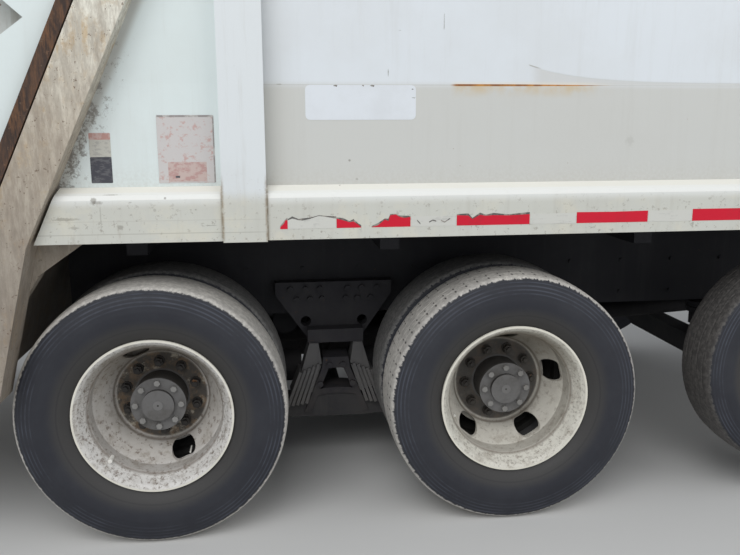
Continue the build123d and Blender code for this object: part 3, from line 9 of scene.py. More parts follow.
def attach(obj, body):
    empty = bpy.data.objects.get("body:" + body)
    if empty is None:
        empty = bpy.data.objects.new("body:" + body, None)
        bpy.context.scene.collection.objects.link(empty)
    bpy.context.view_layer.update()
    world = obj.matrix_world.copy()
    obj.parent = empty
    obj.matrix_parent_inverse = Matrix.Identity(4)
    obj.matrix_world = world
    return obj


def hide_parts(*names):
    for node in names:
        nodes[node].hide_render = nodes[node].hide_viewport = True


bl_info = {
    "name": "Refuse truck dressing",
    "version": (1, 0, 0),
    "blender": (4, 5, 0),
    "location": "View3D > Sidebar > Truck",
    "description": "Tyres, fasteners, markings and weathered finishes for the refuse truck",
    "category": "Object",
}

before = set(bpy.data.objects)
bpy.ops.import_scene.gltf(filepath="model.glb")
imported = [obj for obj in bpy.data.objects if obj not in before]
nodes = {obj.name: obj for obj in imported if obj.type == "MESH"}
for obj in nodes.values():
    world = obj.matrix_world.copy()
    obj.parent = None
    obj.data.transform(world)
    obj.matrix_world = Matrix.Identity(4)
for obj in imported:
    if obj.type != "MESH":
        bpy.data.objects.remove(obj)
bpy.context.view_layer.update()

AXLE_A_X = -2.375
AXLE_B_X = -0.975
PUSHER_X = 0.305
FRONT_X = 3.475
WHEEL_Z = 0.506
PUSHER_Z = 0.585
SILL_Y = 1.259
WALL_Y = 1.2
SEAM_Z = 1.717
POST_X = -2.0075
POST_HALF_WIDTH = 0.0775
# The rear frame leans forward by this for each metre above the height below
FRAME_LEAN = 0.4663
LEAN_FROM_Z = 1.39

# Wheels: radius of the tyre's bead, where its wall leaves the rim as distance from the
# middle and radius, thickness of the disc, how far the tread falls away at its edge
BEAD_RADIUS = 0.286
RIM_EDGE = (0.1005, 0.3005)
DISC_THICK = 0.011
CROWN_DROP = 0.006

# Wheel fasteners: washer, nut and stud, then the hub's bolts, which are as wide as high,
# their circle and how deep they start below the hub's end
WASHER_THICK = 0.006
NUT_HEIGHT = 0.022
STUD_RADIUS = 0.01
STUD_LENGTH = 0.034
HUB_BOLT = 0.0125
HUB_CIRCLE = 0.088
HUB_BOLT_SINK = 0.017

# The cap's boss and the dimple in it: radius and height, from just below the cap's face. The dimple is a
# dark disc that stands for the shade in it.
CAP_SINK = 0.003
BOSS = (0.019, 0.0046)
DIMPLE = (0.0042, 0.0049)

# Frame bolts: head height, the beams' end bolts as height, radius and head, and the rail
# bolts' rearmost x, spacing, count, radius and head
HEAD_HEIGHT = 0.014
BEAM_BOLT_Z = 0.305
BEAM_BOLT = (0.036, 0.022)
RAIL_BOLT_X = -2.3
RAIL_BOLT_PITCH = 0.262
RAIL_BOLTS = 26
RAIL_BOLT = (0.010, 0.009)

# Suspension: its middle, and how far out its bolted faces and the frame rails' webs lie
SUSPENSION_X = -1.637
HANGER_Y = 0.5
SADDLE_Y = 0.58
BEAM_Y = 0.57
RAIL_Y = 0.43

# Tape on the sills: a red and a white length repeat, on the right only ahead of the torn
# stretch, and it ends behind the cab
TAPE_RIGHT_X = -0.325
TAPE_LEFT_X = -1.885
TAPE_PITCH = 0.458
RED_LENGTH = 0.279
WHITE_START = 0.281
WHITE_END = 0.456
TAPE_FRONT_X = 2.55
GLUE_HALF_WIDTH = 0.0022

CAMERA_PLACE = (-1.917, -4.003, 1.57)
WORLD_STRENGTH = 0.56

# Valve stems: angle, distance from the axle, start outboard of the mounting face, length
# and radius
STEMS_A = ((-134, 0.2535, 0.188, 0.044, 0.0085), (-62, 0.238, 0.06, 0.06, 0.0035))
STEMS_B = ((-151, 0.238, 0.06, 0.06, 0.0045),)
STEMS_SINGLE = ((60, 0.2535, 0.15, 0.044, 0.006),)
STEMS_FRONT = ((40, 0.24, -0.09, 0.06, 0.006),)

# Columns: name, axle x, axle z, mounting face y, tyre middles, tyre half width, tyre
# radius, hub end, angle of the first nut, valve stems
WHEELS = (
    ("rear_a", AXLE_A_X, WHEEL_Z, 0.921, (0.159, -0.159), 0.1395, 0.506, 0.146, 20, STEMS_A),
    ("rear_b", AXLE_B_X, WHEEL_Z, 0.921, (0.159, -0.159), 0.1395, 0.506, 0.146, 2, STEMS_B),
    ("pusher", PUSHER_X, PUSHER_Z, 0.94, (0.13,), 0.1275, 0.465, 0.09, 12, STEMS_SINGLE),
    ("front", FRONT_X, WHEEL_Z, 1.17, (-0.15,), 0.1395, 0.506, 0.08, 10, STEMS_FRONT),
)


class Tree:
    """Adds shader nodes to one node tree."""

    def __init__(self, tree):
        self.tree = tree

    def node(self, kind, inputs=None, **settings):
        made = self.tree.nodes.new(kind)
        for key, value in settings.items():
            setattr(made, key, value)
        for key, value in (inputs or {}).items():
            socket = made.inputs[key]
            if isinstance(value, bpy.types.NodeSocket):
                self.tree.links.new(value, socket)
            else:
                socket.default_value = value
        return made

    def math(self, operation, a, b=0.0, clamp=False):
        return self.node("ShaderNodeMath", {0: a, 1: b}, operation=operation, use_clamp=clamp).outputs[0]

    def plus(self, a, b):
        return self.math("ADD", a, b)

    def minus(self, a, b):
        return self.math("SUBTRACT", a, b)

    def times(self, first, *others):
        for other in others:
            first = self.math("MULTIPLY", first, other)
        return first

    def apart(self, a, b):
        """How far two values lie from each other."""
        return self.math("ABSOLUTE", self.minus(a, b))

    def place(self):
        """Places on the truck in its own metres."""
        return self.node("ShaderNodeTexCoord").outputs["Object"]

    def noise(self, vector, scale, detail=4.0, rough=0.6):
        inputs = {"Vector": vector, "Scale": scale, "Detail": detail, "Roughness": rough}
        return self.node("ShaderNodeTexNoise", inputs).outputs["Fac"]

    def ramp(self, value, low, high):
        """0 below low, 1 above high, smooth between. low above high turns it round."""
        inputs = {"Value": value, "From Min": low, "From Max": high}
        made = self.node("ShaderNodeMapRange", inputs, interpolation_type="SMOOTHSTEP")
        return made.outputs["Result"]

    def spots(self, low, high, scale, detail=4.0, rough=0.6, vector=None):
        """Noise that is 0 below low and 1 above high, in the truck's metres or at vector."""
        at = self.place() if vector is None else vector
        return self.ramp(self.noise(at, scale, detail, rough), low, high)

    def axes(self, vector):
        return self.node("ShaderNodeSeparateXYZ", {"Vector": vector}).outputs

    def normals(self):
        return self.axes(self.node("ShaderNodeNewGeometry").outputs["True Normal"])

    def scaled(self, vector, scale):
        return self.node("ShaderNodeMapping", {"Vector": vector, "Scale": scale}).outputs[0]

    def mix(self, factor, a, b):
        """Two colours mixed. Each is a socket or its red, green and blue."""
        first, second = ((*paint, 1.0) if isinstance(paint, tuple) else paint for paint in (a, b))
        inputs = {0: factor, 6: first, 7: second}
        return self.node("ShaderNodeMix", inputs, data_type="RGBA", clamp_factor=True).outputs[2]

    def cover(self, colour, mask, share, paint):
        """Paint laid over colour by a share of the mask."""
        return self.mix(self.times(mask, share), colour, paint)


class Finish(Tree):
    """A material with its shader, and the colour that has been laid on it so far."""

    def __init__(self, name, numbers):
        self.material = bpy.data.materials.new(name)
        self.material.use_nodes = True
        super().__init__(self.material.node_tree)
        self.tree.nodes.clear()
        self.shader = self.node("ShaderNodeBsdfPrincipled", numbers)
        self.node("ShaderNodeOutputMaterial", {0: self.shader.outputs[0]})
        self.colour = None

    def ages(self, chips, dust_top=1.2):
        """The masks of the shared signs of age."""
        inputs = {"Chips": chips, "Dust Top": dust_top}
        return self.node("ShaderNodeGroup", inputs, node_tree=weathering_group()).outputs

    def lay(self, mask, paint, share=None):
        """Lay paint where the mask is, all of it or a share. A share may be a mask too."""
        factor = mask if share is None else self.times(mask, share)
        self.colour = self.mix(factor, self.colour, paint)

    def marks(self, ages, rows):
        """Scratches and spots with ragged edges, each at its own place."""
        for mark_x, mark_z, half_width, half_height, share in rows:
            off_x = self.math("DIVIDE", self.minus(ages["Along"], mark_x), half_width)
            off_z = self.math("DIVIDE", self.minus(ages["Height"], mark_z), half_height)
            squares = self.plus(self.times(off_x, off_x), self.times(off_z, off_z))
            uneven = self.times(ages["Grain"], 2.0)
            ragged = self.ramp(self.plus(self.math("SQRT", squares), uneven), 2.2, 1.5)
            self.lay(ragged, (0.16, 0.14, 0.11), share)

    def done(self, height=None, strength=0.15, distance=0.001):
        """Join the colour, and the bump of a height, to the shader."""
        self.tree.links.new(self.colour, self.shader.inputs["Base Color"])
        if height is not None:
            inputs = {"Height": height, "Strength": strength, "Distance": distance}
            bump = self.node("ShaderNodeBump", inputs)
            self.tree.links.new(bump.outputs[0], self.shader.inputs["Normal"])
        return self.material


def open_group(name, inputs):
    """A node group with number inputs, and the sockets that bring them in."""
    group = bpy.data.node_groups.new(name, "ShaderNodeTree")
    for socket, default in inputs.items():
        made = group.interface.new_socket(socket, in_out="INPUT", socket_type="NodeSocketFloat")
        made.default_value = default
    tree = Tree(group)
    return tree, tree.node("NodeGroupInput").outputs


def close_group(tree, values):
    """Give the group an output for each value."""
    for socket in values:
        tree.tree.interface.new_socket(socket, in_out="OUTPUT", socket_type="NodeSocketFloat")
    tree.node("NodeGroupOutput", values)
    return tree.tree


def weathering_group():
    """Masks of age over the whole truck, in its own metres: streaks that run down,
    blotches, small chips and the dust that grows towards the ground."""
    name = "Truck weathering"
    if name in bpy.data.node_groups:
        return bpy.data.node_groups[name]
    tree, source = open_group(name, {"Chips": 0.5, "Dust Top": 1.2})
    place = tree.place()
    axes = tree.axes(place)
    tall = tree.scaled(place, (9.0, 9.0, 0.55))
    streaks = tree.spots(0.5, 0.72, 2.2, 5.0, 0.7, vector=tall)
    blotches = tree.spots(0.42, 0.68, 1.7, 6.0, 0.65)
    chip_noise = tree.noise(place, 34.0, 3.0, 0.75)
    chip_low = tree.minus(0.78, tree.times(source["Chips"], 0.18))
    chips = tree.ramp(chip_noise, chip_low, tree.plus(chip_low, 0.03))
    low = tree.ramp(axes["Z"], source["Dust Top"], 0.2)
    dust = tree.times(low, tree.spots(0.3, 0.62, 5.0, 6.0, 0.7))
    grain = tree.noise(place, 90.0, 3.0, 0.6)
    values = {
        "Streaks": streaks,
        "Blotches": blotches,
        "Chips": chips,
        "Dust": dust,
        "Height": axes["Z"],
        "Along": axes["X"],
        "Grain": grain,
    }
    return close_group(tree, values)


def round_axle_group():
    """Distance from a wheel's axle, and dirt that sits in the wheel's middle."""
    name = "Truck round axle"
    if name in bpy.data.node_groups:
        return bpy.data.node_groups[name]
    tree, source = open_group(name, {"Axle X": 0.0, "Axle Z": 0.5})
    place = tree.place()
    axes = tree.axes(place)
    across = tree.minus(axes["X"], source["Axle X"])
    up = tree.minus(axes["Z"], source["Axle Z"])
    square = tree.plus(tree.times(across, across), tree.times(up, up))
    radius = tree.math("SQRT", square)
    specks = tree.spots(0.56, 0.64, 46.0, 4.0, 0.7)
    smear = tree.spots(0.4, 0.7, 9.0, 6.0, 0.7)
    out = tree.math("ABSOLUTE", axes["Y"])
    values = {"Radius": radius, "Specks": specks, "Smear": smear, "Up": up, "Out": out}
    return close_group(tree, values)


def weathered(name, clean, dirty, rust, rough, metal, streak, blotch, chips, dust, dust_top):
    """A finish with the shared signs of age in it."""
    tree = Finish(name, {"Roughness": rough, "Metallic": metal})
    ages = tree.ages(chips, dust_top)
    tree.colour = clean
    tree.lay(ages["Blotches"], dirty, blotch)
    tree.lay(ages["Streaks"], dirty, streak)
    tree.lay(ages["Dust"], (0.23, 0.2, 0.16), dust)
    tree.lay(ages["Chips"], rust)
    return tree.done(ages["Grain"])


# Where the long dent above the seam starts
DENT_X = -0.964

# Scratches and spots on the body wall: x, z, half width, half height, strength
BODY_MARKS = (
    (-1.288, 1.937, 0.0022, 0.03, 0.5),
    (-1.488, 1.76, 0.002, 0.013, 0.7),
    (-1.447, 1.904, 0.007, 0.0018, 0.3),
    (-1.876, 1.718, 0.012, 0.0022, 0.5),
    (-1.629, 1.452, 0.0045, 0.004, 0.6),
    (-1.603, 1.384, 0.005, 0.005, 0.35),
    (-0.565, 1.515, 0.018, 0.018, 0.12),
)

# The same on the sill
SILL_MARKS = (
    (-2.52, 1.324, 0.01, 0.013, 0.6),
    (-2.505, 1.318, 0.016, 0.006, 0.4),
    (-2.436, 1.23, 0.013, 0.01, 0.45),
    (-2.615, 1.262, 0.042, 0.006, 0.45),
    (-2.59, 1.232, 0.02, 0.005, 0.35),
    (-2.499, 1.27, 0.0025, 0.06, 0.3),
    (-2.46, 1.343, 0.03, 0.002, 0.45),
    (-2.398, 1.317, 0.005, 0.003, 0.35),
    (-2.279, 1.33, 0.004, 0.004, 0.6),
    (-2.317, 1.289, 0.006, 0.006, 0.3),
    (-2.194, 1.289, 0.004, 0.004, 0.35),
    (-2.177, 1.289, 0.004, 0.004, 0.35),
    (-2.125, 1.232, 0.03, 0.0018, 0.45),
)


def body_paint():
    """Chalked white paint: cool behind the post, with a painted sky reflection above the seam
    ahead of it, greyer cream below the seam, a painted shadow and grime beside the column,
    painted shade beside the post, a dent painted darker as its shade, dirt above the sill,
    and rust that weeps from the seam under a painted highlight."""
    tree = Finish("Body paint", {"Roughness": 0.38})
    lay, ramp, spots, times = tree.lay, tree.ramp, tree.spots, tree.times
    ages = tree.ages(0.12)
    height, along = ages["Height"], ages["Along"]
    ahead = ramp(along, -2.08, -1.92)
    tree.colour = tree.mix(ahead, (0.7, 0.77, 0.765), (0.58, 0.585, 0.56))
    # Painted reflection of the sky: ahead of the post the wall is bluer and lighter above the seam
    lay(ramp(height, 1.7, 1.735), (0.715, 0.755, 0.79), ahead)
    lay(ages["Streaks"], (0.45, 0.44, 0.4), 0.11)
    lay(ages["Blotches"], (0.52, 0.51, 0.47), 0.14)
    near_sill = times(ramp(height, 1.47, 1.36), ramp(ages["Grain"], 0.3, 0.7))
    lay(near_sill, (0.42, 0.39, 0.33), 0.22)
    place = tree.place()
    # Beside the column: a painted shadow in a narrow dark strip, then grime specks that thin out
    lean = tree.minus(along, times(tree.minus(height, LEAN_FROM_Z), FRAME_LEAN))
    behind = ramp(along, -1.98, -2.1)
    column_shadow = times(ramp(lean, -2.59, -2.625), ramp(lean, -2.8, -2.75))
    lay(times(column_shadow, behind), (0.3, 0.27, 0.23), 0.55)
    near = times(ramp(lean, -2.44, -2.66), ramp(lean, -2.8, -2.75))
    near = times(near, ramp(height, 2.3, 1.42))
    cut = tree.minus(0.66, times(near, 0.2))
    grime = ramp(tree.minus(tree.noise(place, 26.0, 9.0, 0.85), cut), 0.0, 0.05)
    grime = times(grime, near, behind)
    lay(tree.math("MULTIPLY", grime, 0.9, clamp=True), (0.15, 0.13, 0.11))
    # Painted shade: the wall is warmer and darker beside the post
    beside = times(ramp(along, -1.78, -1.93), ahead)
    lay(beside, (0.4, 0.38, 0.33), 0.3)
    # A long dent above the seam: a curved edge that runs down to the seam. The dent is painted darker as
    # its shade, and it also shapes the bump.
    over = tree.minus(height, SEAM_Z)
    decay = tree.math("EXPONENT", times(tree.minus(along, DENT_X), -5.0))
    rise = tree.plus(times(decay, 0.06), 0.01)
    below_edge = tree.minus(rise, over)
    dent = times(ramp(below_edge, -0.001, 0.005), ramp(over, 0.001, 0.004))
    dent = times(dent, ramp(along, DENT_X - 0.01, DENT_X + 0.05))
    dent = times(dent, ramp(along, DENT_X + 1.6, DENT_X + 1.2))
    lay(dent, (0.57, 0.565, 0.54), 0.6)
    tip = times(ramp(along, DENT_X - 0.01, DENT_X), ramp(along, DENT_X + 0.045, DENT_X + 0.02))
    tip = times(tip, ramp(tree.math("ABSOLUTE", below_edge), 0.003, 0.001))
    lay(tip, (0.28, 0.25, 0.2), 0.6)
    tree.marks(ages, BODY_MARKS)
    off_seam = tree.math("ABSOLUTE", over)
    thick = times(ramp(along, -0.55, -1.1), 0.0028)
    line = ramp(tree.minus(off_seam, thick), 0.0016, 0.0)
    span = times(ramp(along, -1.265, -1.235), ramp(along, -0.62, -0.8))
    # Painted highlight: a lighter cream strip just above the rusty seam line
    seam_highlight = times(ramp(over, 0.016, 0.004), span, ramp(over, -0.002, 0.002))
    lay(seam_highlight, (0.84, 0.76, 0.62), 0.45)
    weep = times(ramp(height, 1.665, 1.714), ramp(height, 1.719, 1.716))
    weep = times(weep, span, spots(0.3, 0.7, 14.0))
    lay(weep, (0.58, 0.44, 0.24), 0.75)
    edge = times(ramp(off_seam, 0.0022, 0.001), ahead, 0.3)
    lay(edge, (0.36, 0.34, 0.29))
    rust = tree.mix(spots(0.4, 0.6, 20.0), (0.5, 0.22, 0.04), (0.26, 0.1, 0.03))
    lay(times(line, span), rust)
    lay(ages["Chips"], (0.28, 0.2, 0.13))
    return tree.done(tree.minus(ages["Blotches"], dent), 0.12, 0.006)


def sill_paint():
    """Off-white paint of the sill and post: small chips, a painted highlight on the bevel and
    the bend below it, painted shade in faint creases near the lower edge and a cleaner post."""
    tree = Finish("Sill paint", {"Roughness": 0.5})
    lay, ramp, spots, times = tree.lay, tree.ramp, tree.spots, tree.times
    ages = tree.ages(0.2)
    height = ages["Height"]
    above = ramp(height, 1.3, 1.36)
    tree.colour = tree.mix(above, (0.575, 0.58, 0.53), (0.7, 0.735, 0.75))
    lay(ages["Streaks"], (0.4, 0.38, 0.33), 0.25)
    lay(ages["Blotches"], (0.46, 0.44, 0.39), 0.2)
    place = tree.place()
    grit = times(spots(0.6, 0.66, 60.0, 3.0, 0.75), ramp(height, 1.46, 1.2))
    lay(grit, (0.24, 0.21, 0.17), 0.55)
    drips = tree.scaled(place, (22.0, 22.0, 4.0))
    runs = times(spots(0.56, 0.66, 1.0, 7.0, 0.8, vector=drips), ramp(height, 1.46, 1.3))
    runs = times(runs, ramp(ages["Along"], -2.0, -2.6))
    lay(runs, (0.36, 0.33, 0.27), 0.55)
    cream = times(spots(0.48, 0.66, 7.0, 6.0, 0.7), ramp(height, 1.4, 1.25))
    lay(cream, (0.66, 0.63, 0.52), 0.5)
    # Painted shade in two faint creases near the lower edge, behind the post
    for crease_z, share in ((1.207, 0.42), (1.252, 0.18)):
        crease = ramp(tree.apart(height, crease_z), 0.0028, 0.0)
        crease = times(crease, ramp(ages["Along"], -1.9, -1.98))
        lay(crease, (0.26, 0.24, 0.2), share)
    # Painted highlight: faces that look upwards, on the bevel, are lighter and creamier
    normal = tree.normals()
    bevel = times(ramp(normal["Z"], 0.3, 0.6), ramp(height, 1.43, 1.41))
    lay(bevel, (0.8, 0.78, 0.7), 0.85)
    # A painted highlight along the bend below the bevel, and grime where the post stands on the sill
    from_post = tree.apart(ages["Along"], POST_X)
    bend = times(ramp(height, 1.292, 1.334), ramp(height, 1.352, 1.346))
    bend = times(bend, ramp(from_post, 0.08, 0.084))
    lay(bend, (0.79, 0.8, 0.775), 0.75)
    joint = ramp(tree.apart(from_post, POST_HALF_WIDTH), 0.012, 0.001)
    joint = times(joint, joint, ramp(height, 1.42, 1.36))
    joint = times(joint, spots(0.3, 0.6, 26.0, 5.0, 0.75))
    lay(joint, (0.23, 0.17, 0.1), 0.75)
    tree.marks(ages, SILL_MARKS)
    lay(ages["Chips"], (0.16, 0.12, 0.09))
    return tree.done(ages["Grain"])


def column_paint(name, share, rusty):
    """White paint worn to beige and brown along a leaning member, with fine rust specks
    and grime at its foot. rusty turns the whole of it brown."""
    tree = Finish(name, {"Roughness": 0.78})
    lay, ramp, spots, times = tree.lay, tree.ramp, tree.spots, tree.times
    ages = tree.ages(share)
    place = tree.place()
    turned = {"Vector": place, "Rotation": (0.0, math.radians(-25), 0.0)}
    coarse = tree.node("ShaderNodeMapping", {**turned, "Scale": (10.0, 10.0, 2.5)}).outputs[0]
    fibres = tree.node("ShaderNodeMapping", {**turned, "Scale": (75.0, 75.0, 14.0)}).outputs[0]
    grain = spots(0.36, 0.68, 1.6, 8.0, 0.82, vector=coarse)
    fibre = spots(0.36, 0.66, 1.0, 5.0, 0.7, vector=fibres)
    clouds = spots(0.4, 0.66, 4.5, 8.0, 0.72)
    high = ramp(ages["Height"], 1.45, 2.0)
    tree.colour = tree.mix(high, (0.56, 0.5, 0.41), (0.84, 0.82, 0.72))
    tan = times(spots(0.47, 0.62, 6.0, 7.0, 0.75), ramp(fibre, 1.0, 0.1))
    lay(tan, (0.5, 0.355, 0.19), 0.75)
    lay(grain, (0.26, 0.205, 0.155), 0.6)
    lay(fibre, (0.19, 0.15, 0.115), 0.42)
    foot = times(ramp(ages["Height"], 1.75, 0.95), 0.55)
    lay(foot, (0.17, 0.145, 0.125))
    brown = tree.mix(fibre, (0.03, 0.018, 0.014), (0.155, 0.072, 0.032))
    brown = tree.cover(brown, grain, 0.7, (0.05, 0.032, 0.026))
    lay(rusty, brown)
    specks = spots(0.635, 0.68, 75.0, 3.0, 0.7)
    lay(specks, (0.13, 0.085, 0.055), 0.8)
    lay(ages["Chips"], (0.13, 0.07, 0.04))
    return tree.done(clouds, 0.35, 0.003)


def wheel_paint(name, axle_x, axle_z, rust_amount, clean, painted_shade_from):
    """Painted wheel: greasy hub, rusty bolt circle, dirt rings at the disc's bends, a
    speckled rim and a bright flange edge. Whatever lies inboard of the given distance is painted black,
    as shade inside the wheel."""
    tree = Finish(name, {"Roughness": 0.6})
    lay, ramp, spots, times = tree.lay, tree.ramp, tree.spots, tree.times
    inputs = {"Axle X": axle_x, "Axle Z": axle_z}
    ring = tree.node("ShaderNodeGroup", inputs, node_tree=round_axle_group()).outputs
    radius = ring["Radius"]
    bowl = times(ramp(radius, 0.262, 0.235), 0.25 + 0.25 * rust_amount)
    amount = tree.math("ADD", times(ring["Smear"], 0.25), bowl, clamp=True)
    tree.colour = tree.mix(amount, clean, (0.4, 0.365, 0.32))
    stains = spots(0.5, 0.62, 17.0, 8.0, 0.8)
    lay(stains, (0.21, 0.165, 0.115), 0.3 + 0.15 * rust_amount)
    fine = spots(0.53, 0.6, 75.0, 6.0, 0.8)
    in_rim = times(ramp(radius, 0.244, 0.262), ramp(radius, 0.293, 0.286))
    flecks = times(fine, in_rim, 0.45 + 0.35 * rust_amount)
    lay(flecks, (0.16, 0.13, 0.1))
    specks = times(ring["Specks"], ramp(radius, 0.292, 0.27))
    lay(specks, (0.12, 0.075, 0.05), 0.2 + 0.45 * rust_amount)
    shadow = times(ramp(ring["Up"], 0.02, 0.22), ramp(radius, 0.29, 0.262))
    lay(shadow, (0.12, 0.095, 0.06), 0.62)
    for bend, width, share in ((0.2535, 0.006, 0.62), (0.19, 0.006, 0.7)):
        away = tree.apart(radius, bend)
        lay(ramp(away, width, 0.0), (0.13, 0.1, 0.075), share)
    middle = ramp(radius, 0.186, 0.174)
    patch = spots(0.45, 0.62, 24.0, 6.0, 0.75)
    rusted = tree.mix(patch, (0.04, 0.032, 0.024), (0.15, 0.092, 0.045))
    pale = spots(0.53, 0.64, 19.0, 6.0, 0.75)
    rusted = tree.cover(rusted, pale, rust_amount, (0.36, 0.32, 0.25))
    sooty = tree.mix(rust_amount, (0.05, 0.045, 0.042), rusted)
    lay(middle, sooty, 0.93)
    barrel = ramp(radius, 0.113, 0.108)
    greasy = tree.mix(ring["Smear"], (0.125, 0.122, 0.12), (0.08, 0.075, 0.07))
    lay(barrel, greasy)
    # The hub's barrel is dark: it is what faces sideways
    normal = tree.normals()
    flat = ramp(tree.math("ABSOLUTE", normal["Y"]), 0.35, 0.6)
    shade = times(tree.minus(1.0, flat), ramp(radius, 0.12, 0.1))
    lay(shade, (0.028, 0.025, 0.023), 0.85)
    flange = ramp(radius, 0.2895, 0.2925)
    lay(flange, (0.74, 0.715, 0.62), 0.75)
    # Painted shade: everything inboard of the given distance is near black, as the shade inside the wheel
    inside = ramp(ring["Out"], painted_shade_from, painted_shade_from - 0.01)
    lay(inside, (0.01, 0.009, 0.009), 0.96)
    return tree.done(fine, 0.25)


# What the tread's points carry for the rubber: how much of it is tread, the height between
# bead and tread, the turn round the axle and the place across the tyre
TREAD_DATA = ("land", "height", "turn", "across")


def tyre_rubber():
    """Blue-black sidewall with a painted sheen on fine rings below the shoulder, painted shade
    in a crease and a browner foot; the worn tread is grey with dust, with small pits in rows, and
    is painted darker as shade on the inner tyres and the lifted wheel."""
    tree = Finish("Tyre rubber", {"Roughness": 0.62})
    ramp, spots, times = tree.ramp, tree.spots, tree.times
    land, height, turn, across = (
        tree.node("ShaderNodeAttribute", attribute_name=key).outputs["Fac"] for key in TREAD_DATA
    )
    place = tree.place()
    coarse = spots(0.35, 0.7, 3.5, 6.0, 0.7)
    fine = spots(0.4, 0.62, 60.0, 4.0, 0.7)
    side = tree.cover((0.0135, 0.015, 0.0225), coarse, 0.6, (0.026, 0.028, 0.036))
    side = tree.mix(ramp(height, 0.46, 0.24), side, (0.036, 0.0345, 0.034))
    # Painted shade: a dark ring in the crease low on the sidewall
    crease = ramp(tree.apart(height, 0.27), 0.022, 0.0)
    side = tree.cover(side, crease, 0.55, (0.016, 0.016, 0.019))
    # Painted sheen: pale bluish lines on the fine rings below the shoulder, in patches
    wave = tree.math("SINE", times(height, 95.0))
    near = times(ramp(height, 0.6, 0.72), ramp(height, 0.93, 0.88))
    patchily = spots(0.35, 0.65, 5.0, 4.0, 0.7)
    rings = times(ramp(wave, 0.0, 0.95), near, patchily)
    side = tree.cover(side, rings, 0.55, (0.075, 0.083, 0.11))
    axes = tree.axes(place)
    dusty = tree.mix(fine, (0.44, 0.42, 0.39), (0.62, 0.595, 0.55))
    dusty = tree.cover(dusty, coarse, 0.45, (0.27, 0.26, 0.25))
    # Two rows of small pits across each half of the tread, and nicks in its edge; the
    # rearmost tyres are worn smooth
    newer = ramp(axes["X"], -1.8, -1.6)
    step = tree.minus(tree.math("FRACT", times(turn, 68.0)), 0.5)
    along = tree.math("ABSOLUTE", times(step, 0.046))
    wide = tree.math("ABSOLUTE", across)
    for row, size in ((0.086, 0.0066), (0.048, 0.0054)):
        aside = tree.apart(wide, row)
        pit = ramp(tree.plus(along, times(aside, 0.38)), size, size * 0.4)
        dusty = tree.mix(times(pit, newer), dusty, (0.06, 0.056, 0.054))
    nick = times(ramp(along, 0.0048, 0.0015), ramp(wide, 0.106, 0.11))
    land = tree.minus(land, times(nick, newer, 0.16))
    # Painted shade: the inner tyres' tread, below the truck towards its middle, is darker
    outer = ramp(tree.math("ABSOLUTE", axes["Y"]), 0.9, 0.98)
    inner_dust_in_shade = tree.mix(fine, (0.13, 0.128, 0.128), (0.22, 0.215, 0.205))
    dusty = tree.mix(outer, inner_dust_in_shade, dusty)
    # Painted shade: the lifted wheel's tread is dark, in the shade of the body above it
    lifted = tree.math("LESS_THAN", tree.apart(axes["X"], PUSHER_X), 0.6)
    dusty = tree.mix(lifted, dusty, tree.mix(fine, (0.062, 0.058, 0.056), (0.115, 0.108, 0.102)))
    worn = times(tree.minus(tree.noise(place, 70.0, 5.0, 0.8), 0.5), 0.75)
    crisp = ramp(tree.plus(land, worn), 0.46, 0.66)
    tree.colour = tree.mix(crisp, side, dusty)
    return tree.done(fine)


def patchy(name, first, second, scale, low, high, rough):
    """Two colours in worn patches, for tape and labels."""
    tree = Finish(name, {"Roughness": rough, "Specular IOR Level": 0.25})
    mask = tree.spots(low, high, 1.0, 5.0, 0.7, vector=tree.scaled(tree.place(), scale))
    tree.colour = tree.mix(mask, first, second)
    return tree.done()


def window_glass():
    numbers = {"Roughness": 0.04, "Transmission Weight": 0.85, "IOR": 1.05, "Alpha": 0.55}
    tree = Finish("Window glass", numbers)
    dust = tree.spots(0.4, 0.7, 3.0, 5.0, 0.7)
    tree.colour = tree.mix(dust, (0.35, 0.4, 0.41), (0.55, 0.58, 0.57))
    return tree.done()


# Torn tape on the photographed side: x along the upper edge, and its drop in millimetres
TORN_RED = (
    ((-1.885, 38), (-1.872, 26), (-1.866, 14), (-1.859, 13)),
    ((-1.684, 11), (-1.662, 17), (-1.637, 25), (-1.623, 22), (-1.606, 34), (-1.595, 44)),
    ((-1.557, 44), (-1.534, 38), (-1.509, 18), (-1.496, 23), (-1.489, 2), (-1.468, 0),
     (-1.457, 8), (-1.437, 13), (-1.415, 10)),
    ((-1.243, 7), (-1.2, 9), (-1.184, 22), (-1.156, 7), (-1.134, 11), (-1.106, 9),
     (-1.05, 11), (-0.967, 8)),
    ((-0.785, 4), (-0.64, 5), (-0.505, 3)),
)
TORN_WHITE = (
    ((-1.858, 14), (-1.842, 8), (-1.82, 14), (-1.806, 16), (-1.778, 10), (-1.748, 0),
     (-1.717, 5), (-1.685, 11)),
    ((-1.412, 9), (-1.36, 8), (-1.3, 9), (-1.246, 8)),
    ((-0.964, 6), (-0.88, 7), (-0.788, 5)),
    ((-0.502, 3), (-0.33, 3)),
)
# Strokes of dark glue on the bare white tape: both ends as x and drop
GLUE_STROKES = (
    ((-1.391, 22), (-1.378, 36)),
    ((-1.346, 30), (-1.332, 23)),
    ((-1.332, 23), (-1.32, 27)),
    ((-1.302, 25), (-1.288, 31)),
    ((-1.288, 31), (-1.268, 18)),
)

# Columns: name, rear x, front x, low z, high z, corner, finish
PLATES = (
    ("label_large_edge", -2.303, -2.107, 1.378, 1.613, 0.004, "label_edge"),
    ("label_small_top", -2.533, -2.461, 1.53, 1.553, 0.003, "label_red"),
    ("label_small_middle", -2.533, -2.461, 1.471, 1.53, 0.0, "label_beige"),
    ("label_small_foot", -2.533, -2.461, 1.381, 1.471, 0.003, "label_dark"),
    ("painted_patch", -1.785, -1.387, 1.595, 1.7165, 0.016, "patch"),
)

